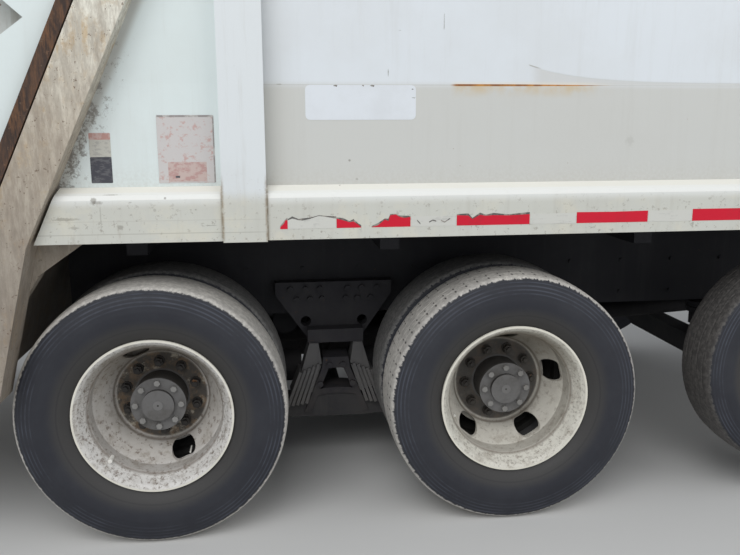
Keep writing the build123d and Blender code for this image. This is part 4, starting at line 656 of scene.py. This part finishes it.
# Columns: name, rear x, front x, low z, high z, thicknesses it lies out, finish
LABEL_FACES = (
    ("label_large_face", -2.303, -2.112, 1.378, 1.606, 0.4, "label_pale"),
    ("label_large_block", -2.27, -2.137, 1.383, 1.451, 0.8, "label_pink"),
    ("label_large_spot", -2.246, -2.231, 1.396, 1.403, 1.2, "label_dark"),
)

# Spots where the patch has flaked: x, z, width, height
PATCH_FLAKES = (
    (-1.678, 1.7135, 0.016, 0.007),
    (-1.579, 1.714, 0.008, 0.006),
    (-1.546, 1.7135, 0.017, 0.007),
    (-1.4, 1.702, 0.008, 0.004),
    (-1.396, 1.672, 0.014, 0.0025),
)

finishes = {}

# Columns: finish, clean, dirty, rust, roughness, metal, streaks, blotches, chips, dust, dust top
PLAIN_FINISHES = (
    ("chassis", (0.014, 0.014, 0.018), (0.04, 0.039, 0.042), (0.06, 0.035, 0.025),
     0.75, 0.0, 0.3, 0.5, 0.4, 0.12, 0.8),
    ("springs", (0.026, 0.025, 0.031), (0.055, 0.053, 0.055), (0.085, 0.05, 0.032),
     0.8, 0.0, 0.4, 0.6, 0.6, 0.15, 0.8),
    ("bolsters", (0.12, 0.118, 0.12), (0.055, 0.054, 0.056), (0.1, 0.07, 0.05),
     0.8, 0.0, 0.4, 0.6, 0.4, 0.2, 0.8),
    ("beams", (0.032, 0.032, 0.036), (0.075, 0.072, 0.07), (0.085, 0.055, 0.035),
     0.75, 0.0, 0.4, 0.6, 0.5, 0.08, 0.7),
    ("gate_inner", (0.56, 0.57, 0.55), (0.3, 0.27, 0.23), (0.2, 0.1, 0.05),
     0.6, 0.0, 0.7, 0.6, 0.7, 0.4, 1.4),
    ("hopper", (0.27, 0.24, 0.21), (0.15, 0.12, 0.09), (0.24, 0.11, 0.05),
     0.55, 0.5, 0.6, 0.8, 0.8, 0.5, 1.4),
    ("cab", (0.74, 0.76, 0.75), (0.5, 0.49, 0.45), (0.22, 0.13, 0.08),
     0.3, 0.0, 0.25, 0.2, 0.2, 0.5, 1.3),
    ("vinyl", (0.045, 0.045, 0.05), (0.08, 0.08, 0.08), (0.06, 0.06, 0.06),
     0.6, 0.0, 0.2, 0.4, 0.1, 0.2, 1.3),
    ("black", (0.025, 0.025, 0.027), (0.07, 0.068, 0.065), (0.09, 0.08, 0.07),
     0.55, 0.0, 0.3, 0.4, 0.3, 0.4, 1.0),
    ("cylinder", (0.05, 0.05, 0.055), (0.1, 0.09, 0.08), (0.16, 0.08, 0.04),
     0.5, 0.2, 0.4, 0.5, 0.4, 0.2, 1.0),
    ("chrome", (0.8, 0.8, 0.8), (0.55, 0.53, 0.5), (0.4, 0.3, 0.2),
     0.12, 1.0, 0.1, 0.2, 0.05, 0.1, 1.0),
    ("iron", (0.06, 0.058, 0.055), (0.035, 0.03, 0.028), (0.12, 0.07, 0.04),
     0.6, 0.4, 0.5, 0.6, 0.4, 0.3, 1.0),
    ("exhaust", (0.35, 0.33, 0.3), (0.18, 0.15, 0.12), (0.2, 0.11, 0.06),
     0.45, 0.9, 0.6, 0.5, 0.6, 0.2, 1.0),
    ("aluminium", (0.6, 0.6, 0.6), (0.38, 0.37, 0.35), (0.3, 0.27, 0.24),
     0.4, 0.9, 0.3, 0.5, 0.3, 0.6, 1.0),
    ("mirror", (0.03, 0.03, 0.032), (0.06, 0.06, 0.06), (0.08, 0.08, 0.08),
     0.4, 0.0, 0.2, 0.3, 0.1, 0.1, 1.0),
    ("lens_clear", (0.75, 0.76, 0.78), (0.55, 0.54, 0.5), (0.4, 0.4, 0.38),
     0.12, 0.0, 0.1, 0.3, 0.05, 0.4, 1.0),
    ("lens_red", (0.42, 0.015, 0.012), (0.25, 0.03, 0.02), (0.2, 0.05, 0.04),
     0.2, 0.0, 0.2, 0.3, 0.1, 0.3, 1.2),
    ("nuts", (0.034, 0.031, 0.029), (0.075, 0.064, 0.052), (0.2, 0.1, 0.045),
     0.6, 0.2, 0.4, 0.6, 0.7, 0.1, 0.2),
    ("hub", (0.165, 0.162, 0.16), (0.11, 0.104, 0.098), (0.14, 0.1, 0.07),
     0.6, 0.1, 0.4, 0.5, 0.4, 0.1, 0.2),
    ("hub_heads", (0.24, 0.235, 0.225), (0.14, 0.13, 0.12), (0.24, 0.2, 0.15),
     0.5, 0.2, 0.4, 0.4, 0.4, 0.1, 0.2),
    ("stem", (0.8, 0.79, 0.74), (0.5, 0.47, 0.42), (0.3, 0.24, 0.18),
     0.5, 0.0, 0.3, 0.4, 0.2, 0.1, 0.3),
)

# Columns: finish, first colour, second colour, scale, where the second starts and is full,
# roughness
PATCHY_FINISHES = (
    ("tape_red", (0.6, 0.01, 0.032), (0.46, 0.02, 0.036), (18.0, 18.0, 18.0), 0.5, 0.75, 0.6),
    ("tape_white", (0.595, 0.595, 0.555), (0.49, 0.49, 0.46), (14.0, 14.0, 40.0), 0.52, 0.66, 0.6),
    ("residue", (0.11, 0.105, 0.1), (0.3, 0.28, 0.25), (40.0, 40.0, 40.0), 0.45, 0.6, 0.8),
    ("patch", (0.715, 0.75, 0.79), (0.67, 0.7, 0.73), (5.0, 5.0, 5.0), 0.4, 0.7, 0.4),
    ("label_pale", (0.575, 0.55, 0.54), (0.53, 0.375, 0.35), (42.0, 42.0, 60.0), 0.54, 0.64, 0.5),
    ("label_pink", (0.54, 0.43, 0.4), (0.47, 0.3, 0.28), (30.0, 30.0, 60.0), 0.46, 0.58, 0.5),
    ("label_edge", (0.3, 0.28, 0.27), (0.5, 0.48, 0.46), (30.0, 30.0, 30.0), 0.48, 0.6, 0.6),
    ("label_red", (0.46, 0.27, 0.24), (0.52, 0.38, 0.35), (42.0, 42.0, 42.0), 0.46, 0.58, 0.5),
    ("label_beige", (0.5, 0.49, 0.44), (0.4, 0.39, 0.36), (50.0, 50.0, 80.0), 0.5, 0.6, 0.5),
    ("label_dark", (0.065, 0.065, 0.078), (0.12, 0.12, 0.13), (30.0, 30.0, 90.0), 0.48, 0.58, 0.5),
)

# CAD nodes that aren't a tyre or a wheel, by finish; the rest take "chassis"
FINISH_NODES = {
    "body": ("body_sides", "body_roof", "tailgate_sides", "tailgate_canopy"),
    "sill": ("sills_and_posts",),
    "column": ("rear_frame",),
    "strip": ("tailgate_frame",),
    "gate_inner": ("hopper_side_plates",),
    "hopper": ("hopper_floor", "packer_carriage", "sweep_blade", "ejector_panel", "rear_steps"),
    "bolsters": ("bolster_springs",),
    "beams": ("equalizer_beams",),
    "springs": ("suspension_brackets",),
    "cab": ("cab_shell", "door_left", "door_right"),
    "vinyl": ("cab_interior",),
    "glass": ("cab_glass", "door_glass_left", "door_glass_right"),
    "mirror": ("mirrors",),
    "lens_clear": ("headlamps",),
    "lens_red": ("tail_lamps",),
    "black": ("grille", "front_bumper"),
    "exhaust": ("exhaust_stack",),
    "aluminium": ("fuel_tank",),
    "iron": ("engine_block",),
    "cylinder": ("lift_barrels", "sweep_barrels", "packer_slide_barrels"),
    "chrome": ("lift_rods", "sweep_rods"),
}


def build_finishes():
    """Make every finish once and keep it under its short name."""
    finishes["body"] = body_paint()
    finishes["sill"] = sill_paint()
    finishes["column"] = column_paint("Column paint", 0.35, 0.0)
    finishes["strip"] = column_paint("Rusty strip", 0.55, 1.0)
    finishes["tyre"] = tyre_rubber()
    finishes["glass"] = window_glass()
    for name, *looks in PLAIN_FINISHES:
        finishes[name] = weathered("Truck " + name, *looks)
    for name, axle_x, axle_z, face_y, *_ in WHEELS:
        rusty = {"rear_a": 0.95, "rear_b": 0.3}.get(name, 0.6)
        clean = (0.66, 0.645, 0.62) if name == "rear_a" else (0.67, 0.65, 0.58)
        # How far out each wheel is painted black as shade
        painted_shade_from = 0.8 if name == "front" else face_y - 0.014
        finishes["wheel_" + name] = wheel_paint("Wheel " + name, axle_x, axle_z, rusty, clean, painted_shade_from)
    for name, *looks in PATCHY_FINISHES:
        finishes[name] = patchy("Truck " + name, *looks)


def add_piece(name, vertices, faces, finish, body, smooth_deg=30.0):
    """A mesh in the truck's own metres that moves with a body."""
    mesh = bpy.data.meshes.new(name)
    mesh.from_pydata([tuple(v) for v in vertices], [], faces)
    mesh.validate()
    mesh.materials.append(finishes[finish])
    for polygon in mesh.polygons:
        polygon.use_smooth = True
    mesh.set_sharp_from_angle(angle=math.radians(smooth_deg))
    made = bpy.data.objects.new(name, mesh)
    bpy.context.scene.collection.objects.link(made)
    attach(made, body)
    return made


def round_axle(x, y, z, reach, angle):
    """The point at an angle round a line that runs across the truck."""
    return (x + reach * math.cos(angle), y, z + reach * math.sin(angle))


class Solids:
    """Gathers simple solids into one mesh."""

    def __init__(self):
        self.vertices = []
        self.faces = []

    def prism(self, ring, shift):
        """A closed ring of points pushed along shift."""
        first = len(self.vertices)
        count = len(ring)
        self.vertices += [Vector(p) for p in ring]
        self.vertices += [Vector(p) + Vector(shift) for p in ring]
        self.faces.append(tuple(range(first + count - 1, first - 1, -1)))
        self.faces.append(tuple(range(first + count, first + 2 * count)))
        for index in range(count):
            after = (index + 1) % count
            low, high = first + index, first + after
            self.faces.append((low, high, count + high, count + low))

    def bar(self, centre, axis, radius, length, sides):
        """A round or hexagonal bar that starts at centre and runs along axis."""
        along = Vector(axis).normalized()
        side = along.orthogonal().normalized()
        other = along.cross(side)
        ring = []
        for k in range(sides):
            angle = 2 * math.pi * k / sides
            ring.append(Vector(centre) + radius * (math.cos(angle) * side + math.sin(angle) * other))
        self.prism(ring, along * length)

    def piece(self, name, finish, body):
        return add_piece(name, self.vertices, self.faces, finish, body)


def arc_points(start, middle, end, count):
    """Points on the circle through three (s, r) points, from start to end."""
    ax, ay = start
    bx, by = middle
    cx, cy = end
    d = 2 * (ax * (by - cy) + bx * (cy - ay) + cx * (ay - by))
    ux = ((ax**2 + ay**2) * (by - cy) + (bx**2 + by**2) * (cy - ay) + (cx**2 + cy**2) * (ay - by)) / d
    uy = ((ax**2 + ay**2) * (cx - bx) + (bx**2 + by**2) * (ax - cx) + (cx**2 + cy**2) * (bx - ax)) / d
    radius = math.hypot(ax - ux, ay - uy)
    first = math.atan2(ay - uy, ax - ux)
    turn = math.atan2(cy - uy, cx - ux) - first
    turn = (turn + math.pi) % (2 * math.pi) - math.pi
    angles = [first + turn * k / count for k in range(count + 1)]
    return [(ux + radius * math.cos(angle), uy + radius * math.sin(angle)) for angle in angles]


def metres(name, description, default):
    """A setting in metres."""
    return bpy.props.FloatProperty(name=name, description=description, default=default, unit="LENGTH")


class TyreSettings(bpy.types.PropertyGroup):
    """Sizes of the tyres' tread and sidewall detail."""

    steps: bpy.props.IntProperty(name="Steps", description="Facets round a tyre", default=256)
    groove_depth: metres("Groove depth", "Depth of the tread's grooves", 0.0009)
    groove_width: metres("Groove width", "Width of the tread's grooves", 0.009)
    zigzag: metres("Zigzag", "Sideways swing of the grooves", 0.001)
    notch_depth: metres("Notch depth", "Depth of the teeth in the shoulders", 0.0008)


class FastenerSettings(bpy.types.PropertyGroup):
    """Sizes of the nuts and bolts."""

    nut_radius: metres("Nut radius", "Corner radius of a wheel nut", 0.0185)
    nut_circle: metres("Nut circle", "Radius of the wheel nuts' circle", 0.1429)
    bolt_radius: metres("Bolt radius", "Corner radius of a frame bolt's head", 0.015)


class MarkingSettings(bpy.types.PropertyGroup):
    """Sizes of the tape and labels."""

    lift: metres("Lift", "Thickness of tape and labels", 0.0009)
    tape_low: metres("Tape low", "Height of the tape's lower edge", 1.214)
    tape_high: metres("Tape high", "Height of the tape's upper edge", 1.259)


class StageSettings(bpy.types.PropertyGroup):
    """Camera and light of the studio."""

    lens: bpy.props.FloatProperty(name="Lens", description="Focal length in millimetres", default=37.49)
    yaw: bpy.props.FloatProperty(
        name="Yaw", description="Camera turned towards the truck's front", default=0.128, subtype="ANGLE"
    )
    pitch: bpy.props.FloatProperty(
        name="Pitch", description="Camera tipped down", default=0.193, subtype="ANGLE"
    )
    roll: bpy.props.FloatProperty(
        name="Roll", description="Camera rolled", default=-0.004, subtype="ANGLE"
    )
    key_power: bpy.props.FloatProperty(
        name="Key power", description="Power of the main light", default=680.0, unit="POWER"
    )


class TRUCK_OT_finishes(bpy.types.Operator):
    """Give every CAD node its weathered finish"""

    bl_idname = "truck.finishes"
    bl_label = "Finishes"

    def execute(self, context):
        build_finishes()
        finish_of = {name: finish for finish, names in FINISH_NODES.items() for name in names}
        for name, node in nodes.items():
            if name.startswith("tyres_"):
                finish = "tyre"
            elif name.startswith("wheels_"):
                finish = "wheel_" + name[len("wheels_") :].rsplit("_", 1)[0]
            else:
                finish = finish_of.get(name, "chassis")
            node.data.materials.clear()
            node.data.materials.append(finishes[finish])
        return {"FINISHED"}


class TRUCK_OT_tyres(bpy.types.Operator):
    """Build the tyres with tread, shoulder ribs and bead"""

    bl_idname = "truck.tyres"
    bl_label = "Tyres"

    def profile(self, half, radius):
        """Half a tyre's outline from bead to centre line: (s, r, land, height, notch)."""
        settings = bpy.context.scene.truck_tyres
        wall = radius - BEAD_RADIUS
        waist = (half, BEAD_RADIUS + wall * 0.48)
        shoulder = (half * 0.92, radius - wall * 0.13)
        points = [(0.098, 0.2865, 0.0, 0.0, 0.0), (*RIM_EDGE, 0.0, 0.05, 0.0)]
        arc = arc_points(RIM_EDGE, waist, shoulder, 24)
        for index, (s, r) in enumerate(arc[1:], 1):
            sunk = 0.0014 if index in (2, 3, 17, 19, 21, 23) else 0.0
            points.append((s - sunk - 0.0006, r, 0.0, (r - BEAD_RADIUS) / wall, 0.0))
        edge = (half * 0.8, radius - CROWN_DROP)
        points.append((half * 0.915, radius - wall * 0.105, 0.3, 0.9, 0.3))
        points.append((half * 0.875, radius - wall * 0.065, 0.62, 0.94, 1.0))
        points.append((*edge, 1.0, 1.0, 1.0))
        points.append((edge[0] - 0.012, radius - 0.0045, 1.0, 1.0, 0.0))
        gap = settings.groove_width / 2
        offsets = (gap + 0.004, gap, gap * 0.55, -gap * 0.55, -gap, -gap - 0.004)
        for centre in (half * 0.5, half * 0.17):
            for offset, deep in zip(offsets, (0, 0, 1, 1, 0, 0)):
                s = centre + offset
                r = radius - CROWN_DROP * (s / edge[0]) ** 2 - deep * settings.groove_depth
                points.append((s, r, 1.0, 1.0, 0.0))
        points.append((0.0, radius, 1.0, 1.0, 0.0))
        return points

    def build(self, name, mount, outboard, middles, half, radius):
        settings = bpy.context.scene.truck_tyres
        half_profile = self.profile(half, radius)
        whole = half_profile + [(-s, *rest) for s, *rest in reversed(half_profile[:-1])]
        count = len(whole)
        vertices, faces, land, height, turn, across_tread = [], [], [], [], [], []
        for middle in middles:
            first = len(vertices)
            for step in range(settings.steps):
                angle = 2 * math.pi * step / settings.steps
                swing = settings.zigzag * math.sin(2 * math.pi * step / 8)
                cut = settings.notch_depth if step % 2 else 0.0
                for s, r, land_here, height_here, notch in whole:
                    inside = 0.001 < abs(s) < half * 0.74
                    across = middle + s + (swing if inside else 0.0)
                    deep = r - cut * notch
                    y = mount[1] + outboard * across
                    vertices.append(round_axle(mount[0], y, mount[2], deep, angle))
                    land.append(land_here * (1.0 - 0.12 * notch * bool(cut)))
                    height.append(height_here)
                    turn.append(step / settings.steps)
                    across_tread.append(s)
            for step in range(settings.steps):
                after = (step + 1) % settings.steps
                for index in range(count - 1):
                    a = first + step * count + index
                    b = first + after * count + index
                    faces.append((a, a + 1, b + 1, b) if outboard > 0 else (a, b, b + 1, a + 1))
        made = add_piece(f"tyre_tread_{name}", vertices, faces, "tyre", f"wheel_{name}", 40.0)
        for key, values in zip(TREAD_DATA, (land, height, turn, across_tread)):
            attribute = made.data.attributes.new(key, "FLOAT", "POINT")
            attribute.data.foreach_set("value", values)
        return made

    def execute(self, context):
        for side, outboard in (("right", -1), ("left", 1)):
            for name, x, z, y, middles, half, radius, *_ in WHEELS:
                mount = (x, outboard * y, z)
                piece = self.build(f"{name}_{side}", mount, outboard, middles, half, radius)
                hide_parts(f"tyres_{name}_{side}")
        return {"FINISHED"}


class TRUCK_OT_wheel_nuts(bpy.types.Operator):
    """Add the wheel nuts, their studs and the bolts of the hub flanges"""

    bl_idname = "truck.wheel_nuts"
    bl_label = "Wheel nuts"

    def execute(self, context):
        settings = context.scene.truck_fasteners
        for side, outboard in (("right", -1), ("left", 1)):
            for name, x, z, y, _, _, _, hub_end, nut_deg, stems_at in WHEELS:
                nuts, cap, heads, stems = Solids(), Solids(), Solids(), Solids()
                out = (0, outboard, 0)
                for index in range(10):
                    angle = math.radians(nut_deg + 36 * index)
                    face = round_axle(x, outboard * (y + DISC_THICK), z, settings.nut_circle, angle)
                    nuts.bar(face, out, settings.nut_radius * 1.2, WASHER_THICK, 12)
                    nut = (face[0], face[1] + outboard * WASHER_THICK, face[2])
                    nuts.bar(nut, out, settings.nut_radius, NUT_HEIGHT, 6)
                    nuts.bar(nut, out, STUD_RADIUS, STUD_LENGTH, 8)
                for index in range(8):
                    angle = math.radians(45 * index)
                    face = round_axle(x, outboard * (y + hub_end - HUB_BOLT_SINK), z, HUB_CIRCLE, angle)
                    heads.bar(face, out, HUB_BOLT, HUB_BOLT, 6)
                # A low boss in the middle of the hub's cap, with a dark disc as painted shade for its
                # dimple
                below_cap = (x, outboard * (y + hub_end - CAP_SINK), z)
                cap.bar(below_cap, out, *BOSS, 20)
                nuts.bar(below_cap, out, *DIMPLE, 8)
                for degrees, reach, start, length, thick in stems_at:
                    angle = math.radians(degrees)
                    root = round_axle(x, outboard * (y + start), z, reach, angle)
                    stems.bar(root, out, thick, length, 10)
                for label, solids, finish in (
                    ("wheel_nuts", nuts, "nuts"),
                    ("hub_caps", cap, "hub"),
                    ("hub_bolts", heads, "hub_heads"),
                    ("valve_stems", stems, "stem"),
                ):
                    piece = solids.piece(f"{label}_{name}_{side}", finish, f"wheel_{name}_{side}")
        return {"FINISHED"}


class TRUCK_OT_frame_bolts(bpy.types.Operator):
    """Add the bolts of the suspension hangers, saddles and frame rails"""

    bl_idname = "truck.frame_bolts"
    bl_label = "Frame bolts"

    def execute(self, context):
        radius = context.scene.truck_fasteners.bolt_radius
        # Columns: distance along the truck from the suspension's middle, height
        hanger = [(sign * x, 0.834) for sign in (-1, 1) for x in (0.064, 0.13, 0.2)]
        hanger += [(sign * x, 0.786) for sign in (-1, 1) for x in (0.055, 0.11, 0.172)]
        saddle = [(-0.03, 0.49), (0.03, 0.49), (-0.075, 0.4), (0.075, 0.4)]
        solids = Solids()
        for y_side in (-1, 1):
            out = (0, y_side, 0)
            for places, y in ((hanger, HANGER_Y), (saddle, SADDLE_Y)):
                for x, z in places:
                    face = (SUSPENSION_X + x, y_side * y, z)
                    solids.bar(face, out, radius, HEAD_HEIGHT, 6)
            for axle_x in (AXLE_A_X, AXLE_B_X):
                solids.bar((axle_x, y_side * BEAM_Y, BEAM_BOLT_Z), out, *BEAM_BOLT, 6)
        piece = solids.piece("suspension_bolts", "springs", "chassis")
        solids = Solids()
        for y_side in (-1, 1):
            for step in range(RAIL_BOLTS):
                x = RAIL_BOLT_X + step * RAIL_BOLT_PITCH
                for z in (0.76, 0.92):
                    solids.bar((x, y_side * RAIL_Y, z), (0, y_side, 0), *RAIL_BOLT, 6)
        piece = solids.piece("rail_bolts", "chassis", "chassis")
        return {"FINISHED"}


class TRUCK_OT_markings(bpy.types.Operator):
    """Add the reflective tape, the labels and the painted-over patch"""

    bl_idname = "truck.markings"
    bl_label = "Markings"

    def plate(self, solids, y_side, y, x_low, x_high, z_low, z_high, corner=0.0):
        """A thin plate on a side wall, with its corners rounded."""
        lift = bpy.context.scene.truck_markings.lift
        ring = []
        for corner_x, corner_z, first in (
            (x_high - corner, z_low + corner, -90),
            (x_high - corner, z_high - corner, 0),
            (x_low + corner, z_high - corner, 90),
            (x_low + corner, z_low + corner, 180),
        ):
            for turn in (0, 30, 60, 90) if corner else (0,):
                angle = math.radians(first + turn)
                ring.append(round_axle(corner_x, y_side * y, corner_z, corner, angle))
        if y_side > 0:
            ring.reverse()
        solids.prism(ring, (0, y_side * lift, 0))

    def torn(self, solids, low, top, lift):
        """A piece of tape on the right sill whose upper edge is torn along top."""
        ring = [(top[0][0], -SILL_Y, low), (top[-1][0], -SILL_Y, low)]
        ring += [(x, -SILL_Y, z) for x, z in reversed(top)]
        solids.prism(ring, (0, -lift, 0))

    def execute(self, context):
        settings = context.scene.truck_markings
        low, high = settings.tape_low, settings.tape_high
        red, white, residue = Solids(), Solids(), Solids()
        for solids, pieces in ((red, TORN_RED), (white, TORN_WHITE)):
            for piece in pieces:
                self.torn(solids, low, [(x, high - drop / 1000) for x, drop in piece], settings.lift)
        for piece in TORN_RED[:4] + TORN_WHITE[:1]:
            drops = [max(drop - 4.0 - 4.0 * (index % 2), -2.0) for index, (_, drop) in enumerate(piece)]
            rim = [(x, high - drop / 1000) for (x, _), drop in zip(piece, drops)]
            self.torn(residue, low + 0.0005, rim, settings.lift / 2)
        for (x, drop), (after_x, after_drop) in GLUE_STROKES:
            z, after_z = high - drop / 1000, high - after_drop / 1000
            lower = [(x, z - GLUE_HALF_WIDTH), (after_x, after_z - GLUE_HALF_WIDTH)]
            upper = [(after_x, after_z + GLUE_HALF_WIDTH), (x, z + GLUE_HALF_WIDTH)]
            ring = [(x, -SILL_Y - settings.lift, z) for x, z in lower + upper]
            residue.prism(ring, (0, -settings.lift / 3, 0))
        for index in range(6):
            start = TAPE_RIGHT_X + index * TAPE_PITCH
            self.plate(red, -1, SILL_Y, start, min(start + RED_LENGTH, TAPE_FRONT_X), low, high)
            end = min(start + WHITE_END, TAPE_FRONT_X)
            self.plate(white, -1, SILL_Y, start + WHITE_START, end, low, high)
        for index in range(9):
            start = TAPE_LEFT_X + index * TAPE_PITCH
            self.plate(red, 1, SILL_Y, start, start + RED_LENGTH, low, high)
            self.plate(white, 1, SILL_Y, start + WHITE_START, start + WHITE_END, low, high)
        tapes = (("tape_red", red, "tape_red"), ("tape_white", white, "tape_white"))
        for name, solids, finish in (*tapes, ("tape_residue", residue, "residue")):
            piece = solids.piece(name, finish, "chassis")
        for name, x_low, x_high, z_low, z_high, corner, finish in PLATES:
            solids = Solids()
            self.plate(solids, -1, WALL_Y, x_low, x_high, z_low, z_high, corner)
            piece = solids.piece(name, finish, "chassis")
        flakes = Solids()
        for x, z, width, high in PATCH_FLAKES:
            outline = ((-0.5, 0.0), (0.35, -0.5), (0.5, 0.3), (-0.1, 0.5))
            ring = [(x + width * u, -WALL_Y - settings.lift, z + high * v) for u, v in outline]
            flakes.prism(ring, (0, -settings.lift / 4, 0))
        piece = flakes.piece("patch_flakes", "residue", "chassis")
        # The large label's faded faces lie on its darker edge
        for name, x_low, x_high, z_low, z_high, lift, finish in LABEL_FACES:
            solids = Solids()
            self.plate(solids, -1, WALL_Y + lift * settings.lift, x_low, x_high, z_low, z_high)
            piece = solids.piece(name, finish, "chassis")
        return {"FINISHED"}


class TRUCK_OT_stage(bpy.types.Operator):
    """Add the floor, the soft lights, the world and the photograph's camera"""

    bl_idname = "truck.stage"
    bl_label = "Stage"

    def execute(self, context):
        settings = context.scene.truck_stage
        mesh = bpy.data.meshes.new("floor")
        mesh.from_pydata([(-40, -40, 0), (40, -40, 0), (40, 40, 0), (-40, 40, 0)], [], [(0, 1, 2, 3)])
        floor = bpy.data.objects.new("floor", mesh)
        context.scene.collection.objects.link(floor)
        numbers = {"Base Color": (0.62, 0.62, 0.61, 1.0), "Roughness": 0.9}
        mesh.materials.append(Finish("Floor", numbers).material)

        world = bpy.data.worlds.new("Studio")
        world.use_nodes = True
        context.scene.world = world
        back = world.node_tree.nodes["Background"]
        back.inputs["Color"].default_value = (0.93, 0.96, 1.0, 1.0)
        back.inputs["Strength"].default_value = WORLD_STRENGTH

        # Columns: name, place, aim, size, share of the key power
        lights = (
            ("key_light", (-5.0, -9.0, 9.0), (-1.5, 0.0, 1.2), 8.0, 1.0),
            ("fill_light", (6.0, -8.0, 6.0), (0.0, 0.0, 1.0), 8.0, 0.35),
        )
        for name, place, aim, size, share in lights:
            data = bpy.data.lights.new(name, "AREA")
            data.size = size
            data.energy = settings.key_power * share
            lamp = bpy.data.objects.new(name, data)
            lamp.location = place
            direction = Vector(aim) - Vector(place)
            lamp.rotation_euler = direction.to_track_quat("-Z", "Y").to_euler()
            context.scene.collection.objects.link(lamp)

        camera_data = bpy.data.cameras.new("camera")
        camera_data.sensor_width = 36.0
        camera_data.lens = settings.lens
        camera_data.clip_end = 200.0
        camera = bpy.data.objects.new("camera", camera_data)
        context.scene.collection.objects.link(camera)
        context.scene.camera = camera
        yaw, pitch, roll = settings.yaw, settings.pitch, settings.roll
        level = math.cos(pitch)
        forward = Vector((math.sin(yaw) * level, math.cos(yaw) * level, -math.sin(pitch)))
        right = Vector((math.cos(yaw), -math.sin(yaw), 0.0))
        up = right.cross(forward)
        rolled_right = math.cos(roll) * right + math.sin(roll) * up
        rolled_up = -math.sin(roll) * right + math.cos(roll) * up
        turn = Matrix((rolled_right, rolled_up, -forward)).transposed()
        camera.matrix_world = Matrix.Translation(CAMERA_PLACE) @ turn.to_4x4()
        context.scene.view_settings.view_transform = "Standard"
        return {"FINISHED"}


class TRUCK_PT_panel(bpy.types.Panel):
    """Buttons for the truck's dressing"""

    bl_idname = "TRUCK_PT_panel"
    bl_label = "Truck"
    bl_space_type = "VIEW_3D"
    bl_region_type = "UI"
    bl_category = "Truck"

    def draw(self, context):
        for operator in OPERATORS:
            self.layout.operator(operator.bl_idname)


OPERATORS = (
    TRUCK_OT_finishes,
    TRUCK_OT_tyres,
    TRUCK_OT_wheel_nuts,
    TRUCK_OT_frame_bolts,
    TRUCK_OT_markings,
    TRUCK_OT_stage,
)
SETTINGS = (
    ("truck_tyres", TyreSettings),
    ("truck_fasteners", FastenerSettings),
    ("truck_markings", MarkingSettings),
    ("truck_stage", StageSettings),
)


def register():
    for name, group in SETTINGS:
        bpy.utils.register_class(group)
        setattr(bpy.types.Scene, name, bpy.props.PointerProperty(type=group))
    for operator in OPERATORS:
        bpy.utils.register_class(operator)
    bpy.utils.register_class(TRUCK_PT_panel)


def unregister():
    bpy.utils.unregister_class(TRUCK_PT_panel)
    for operator in reversed(OPERATORS):
        bpy.utils.unregister_class(operator)
    for name, group in reversed(SETTINGS):
        delattr(bpy.types.Scene, name)
        bpy.utils.unregister_class(group)


def main():
    register()
    bpy.ops.truck.finishes()
    bpy.ops.truck.tyres()
    bpy.ops.truck.wheel_nuts()
    bpy.ops.truck.frame_bolts()
    bpy.ops.truck.markings()
    bpy.ops.truck.stage()


if __name__ == "__main__":
    main()
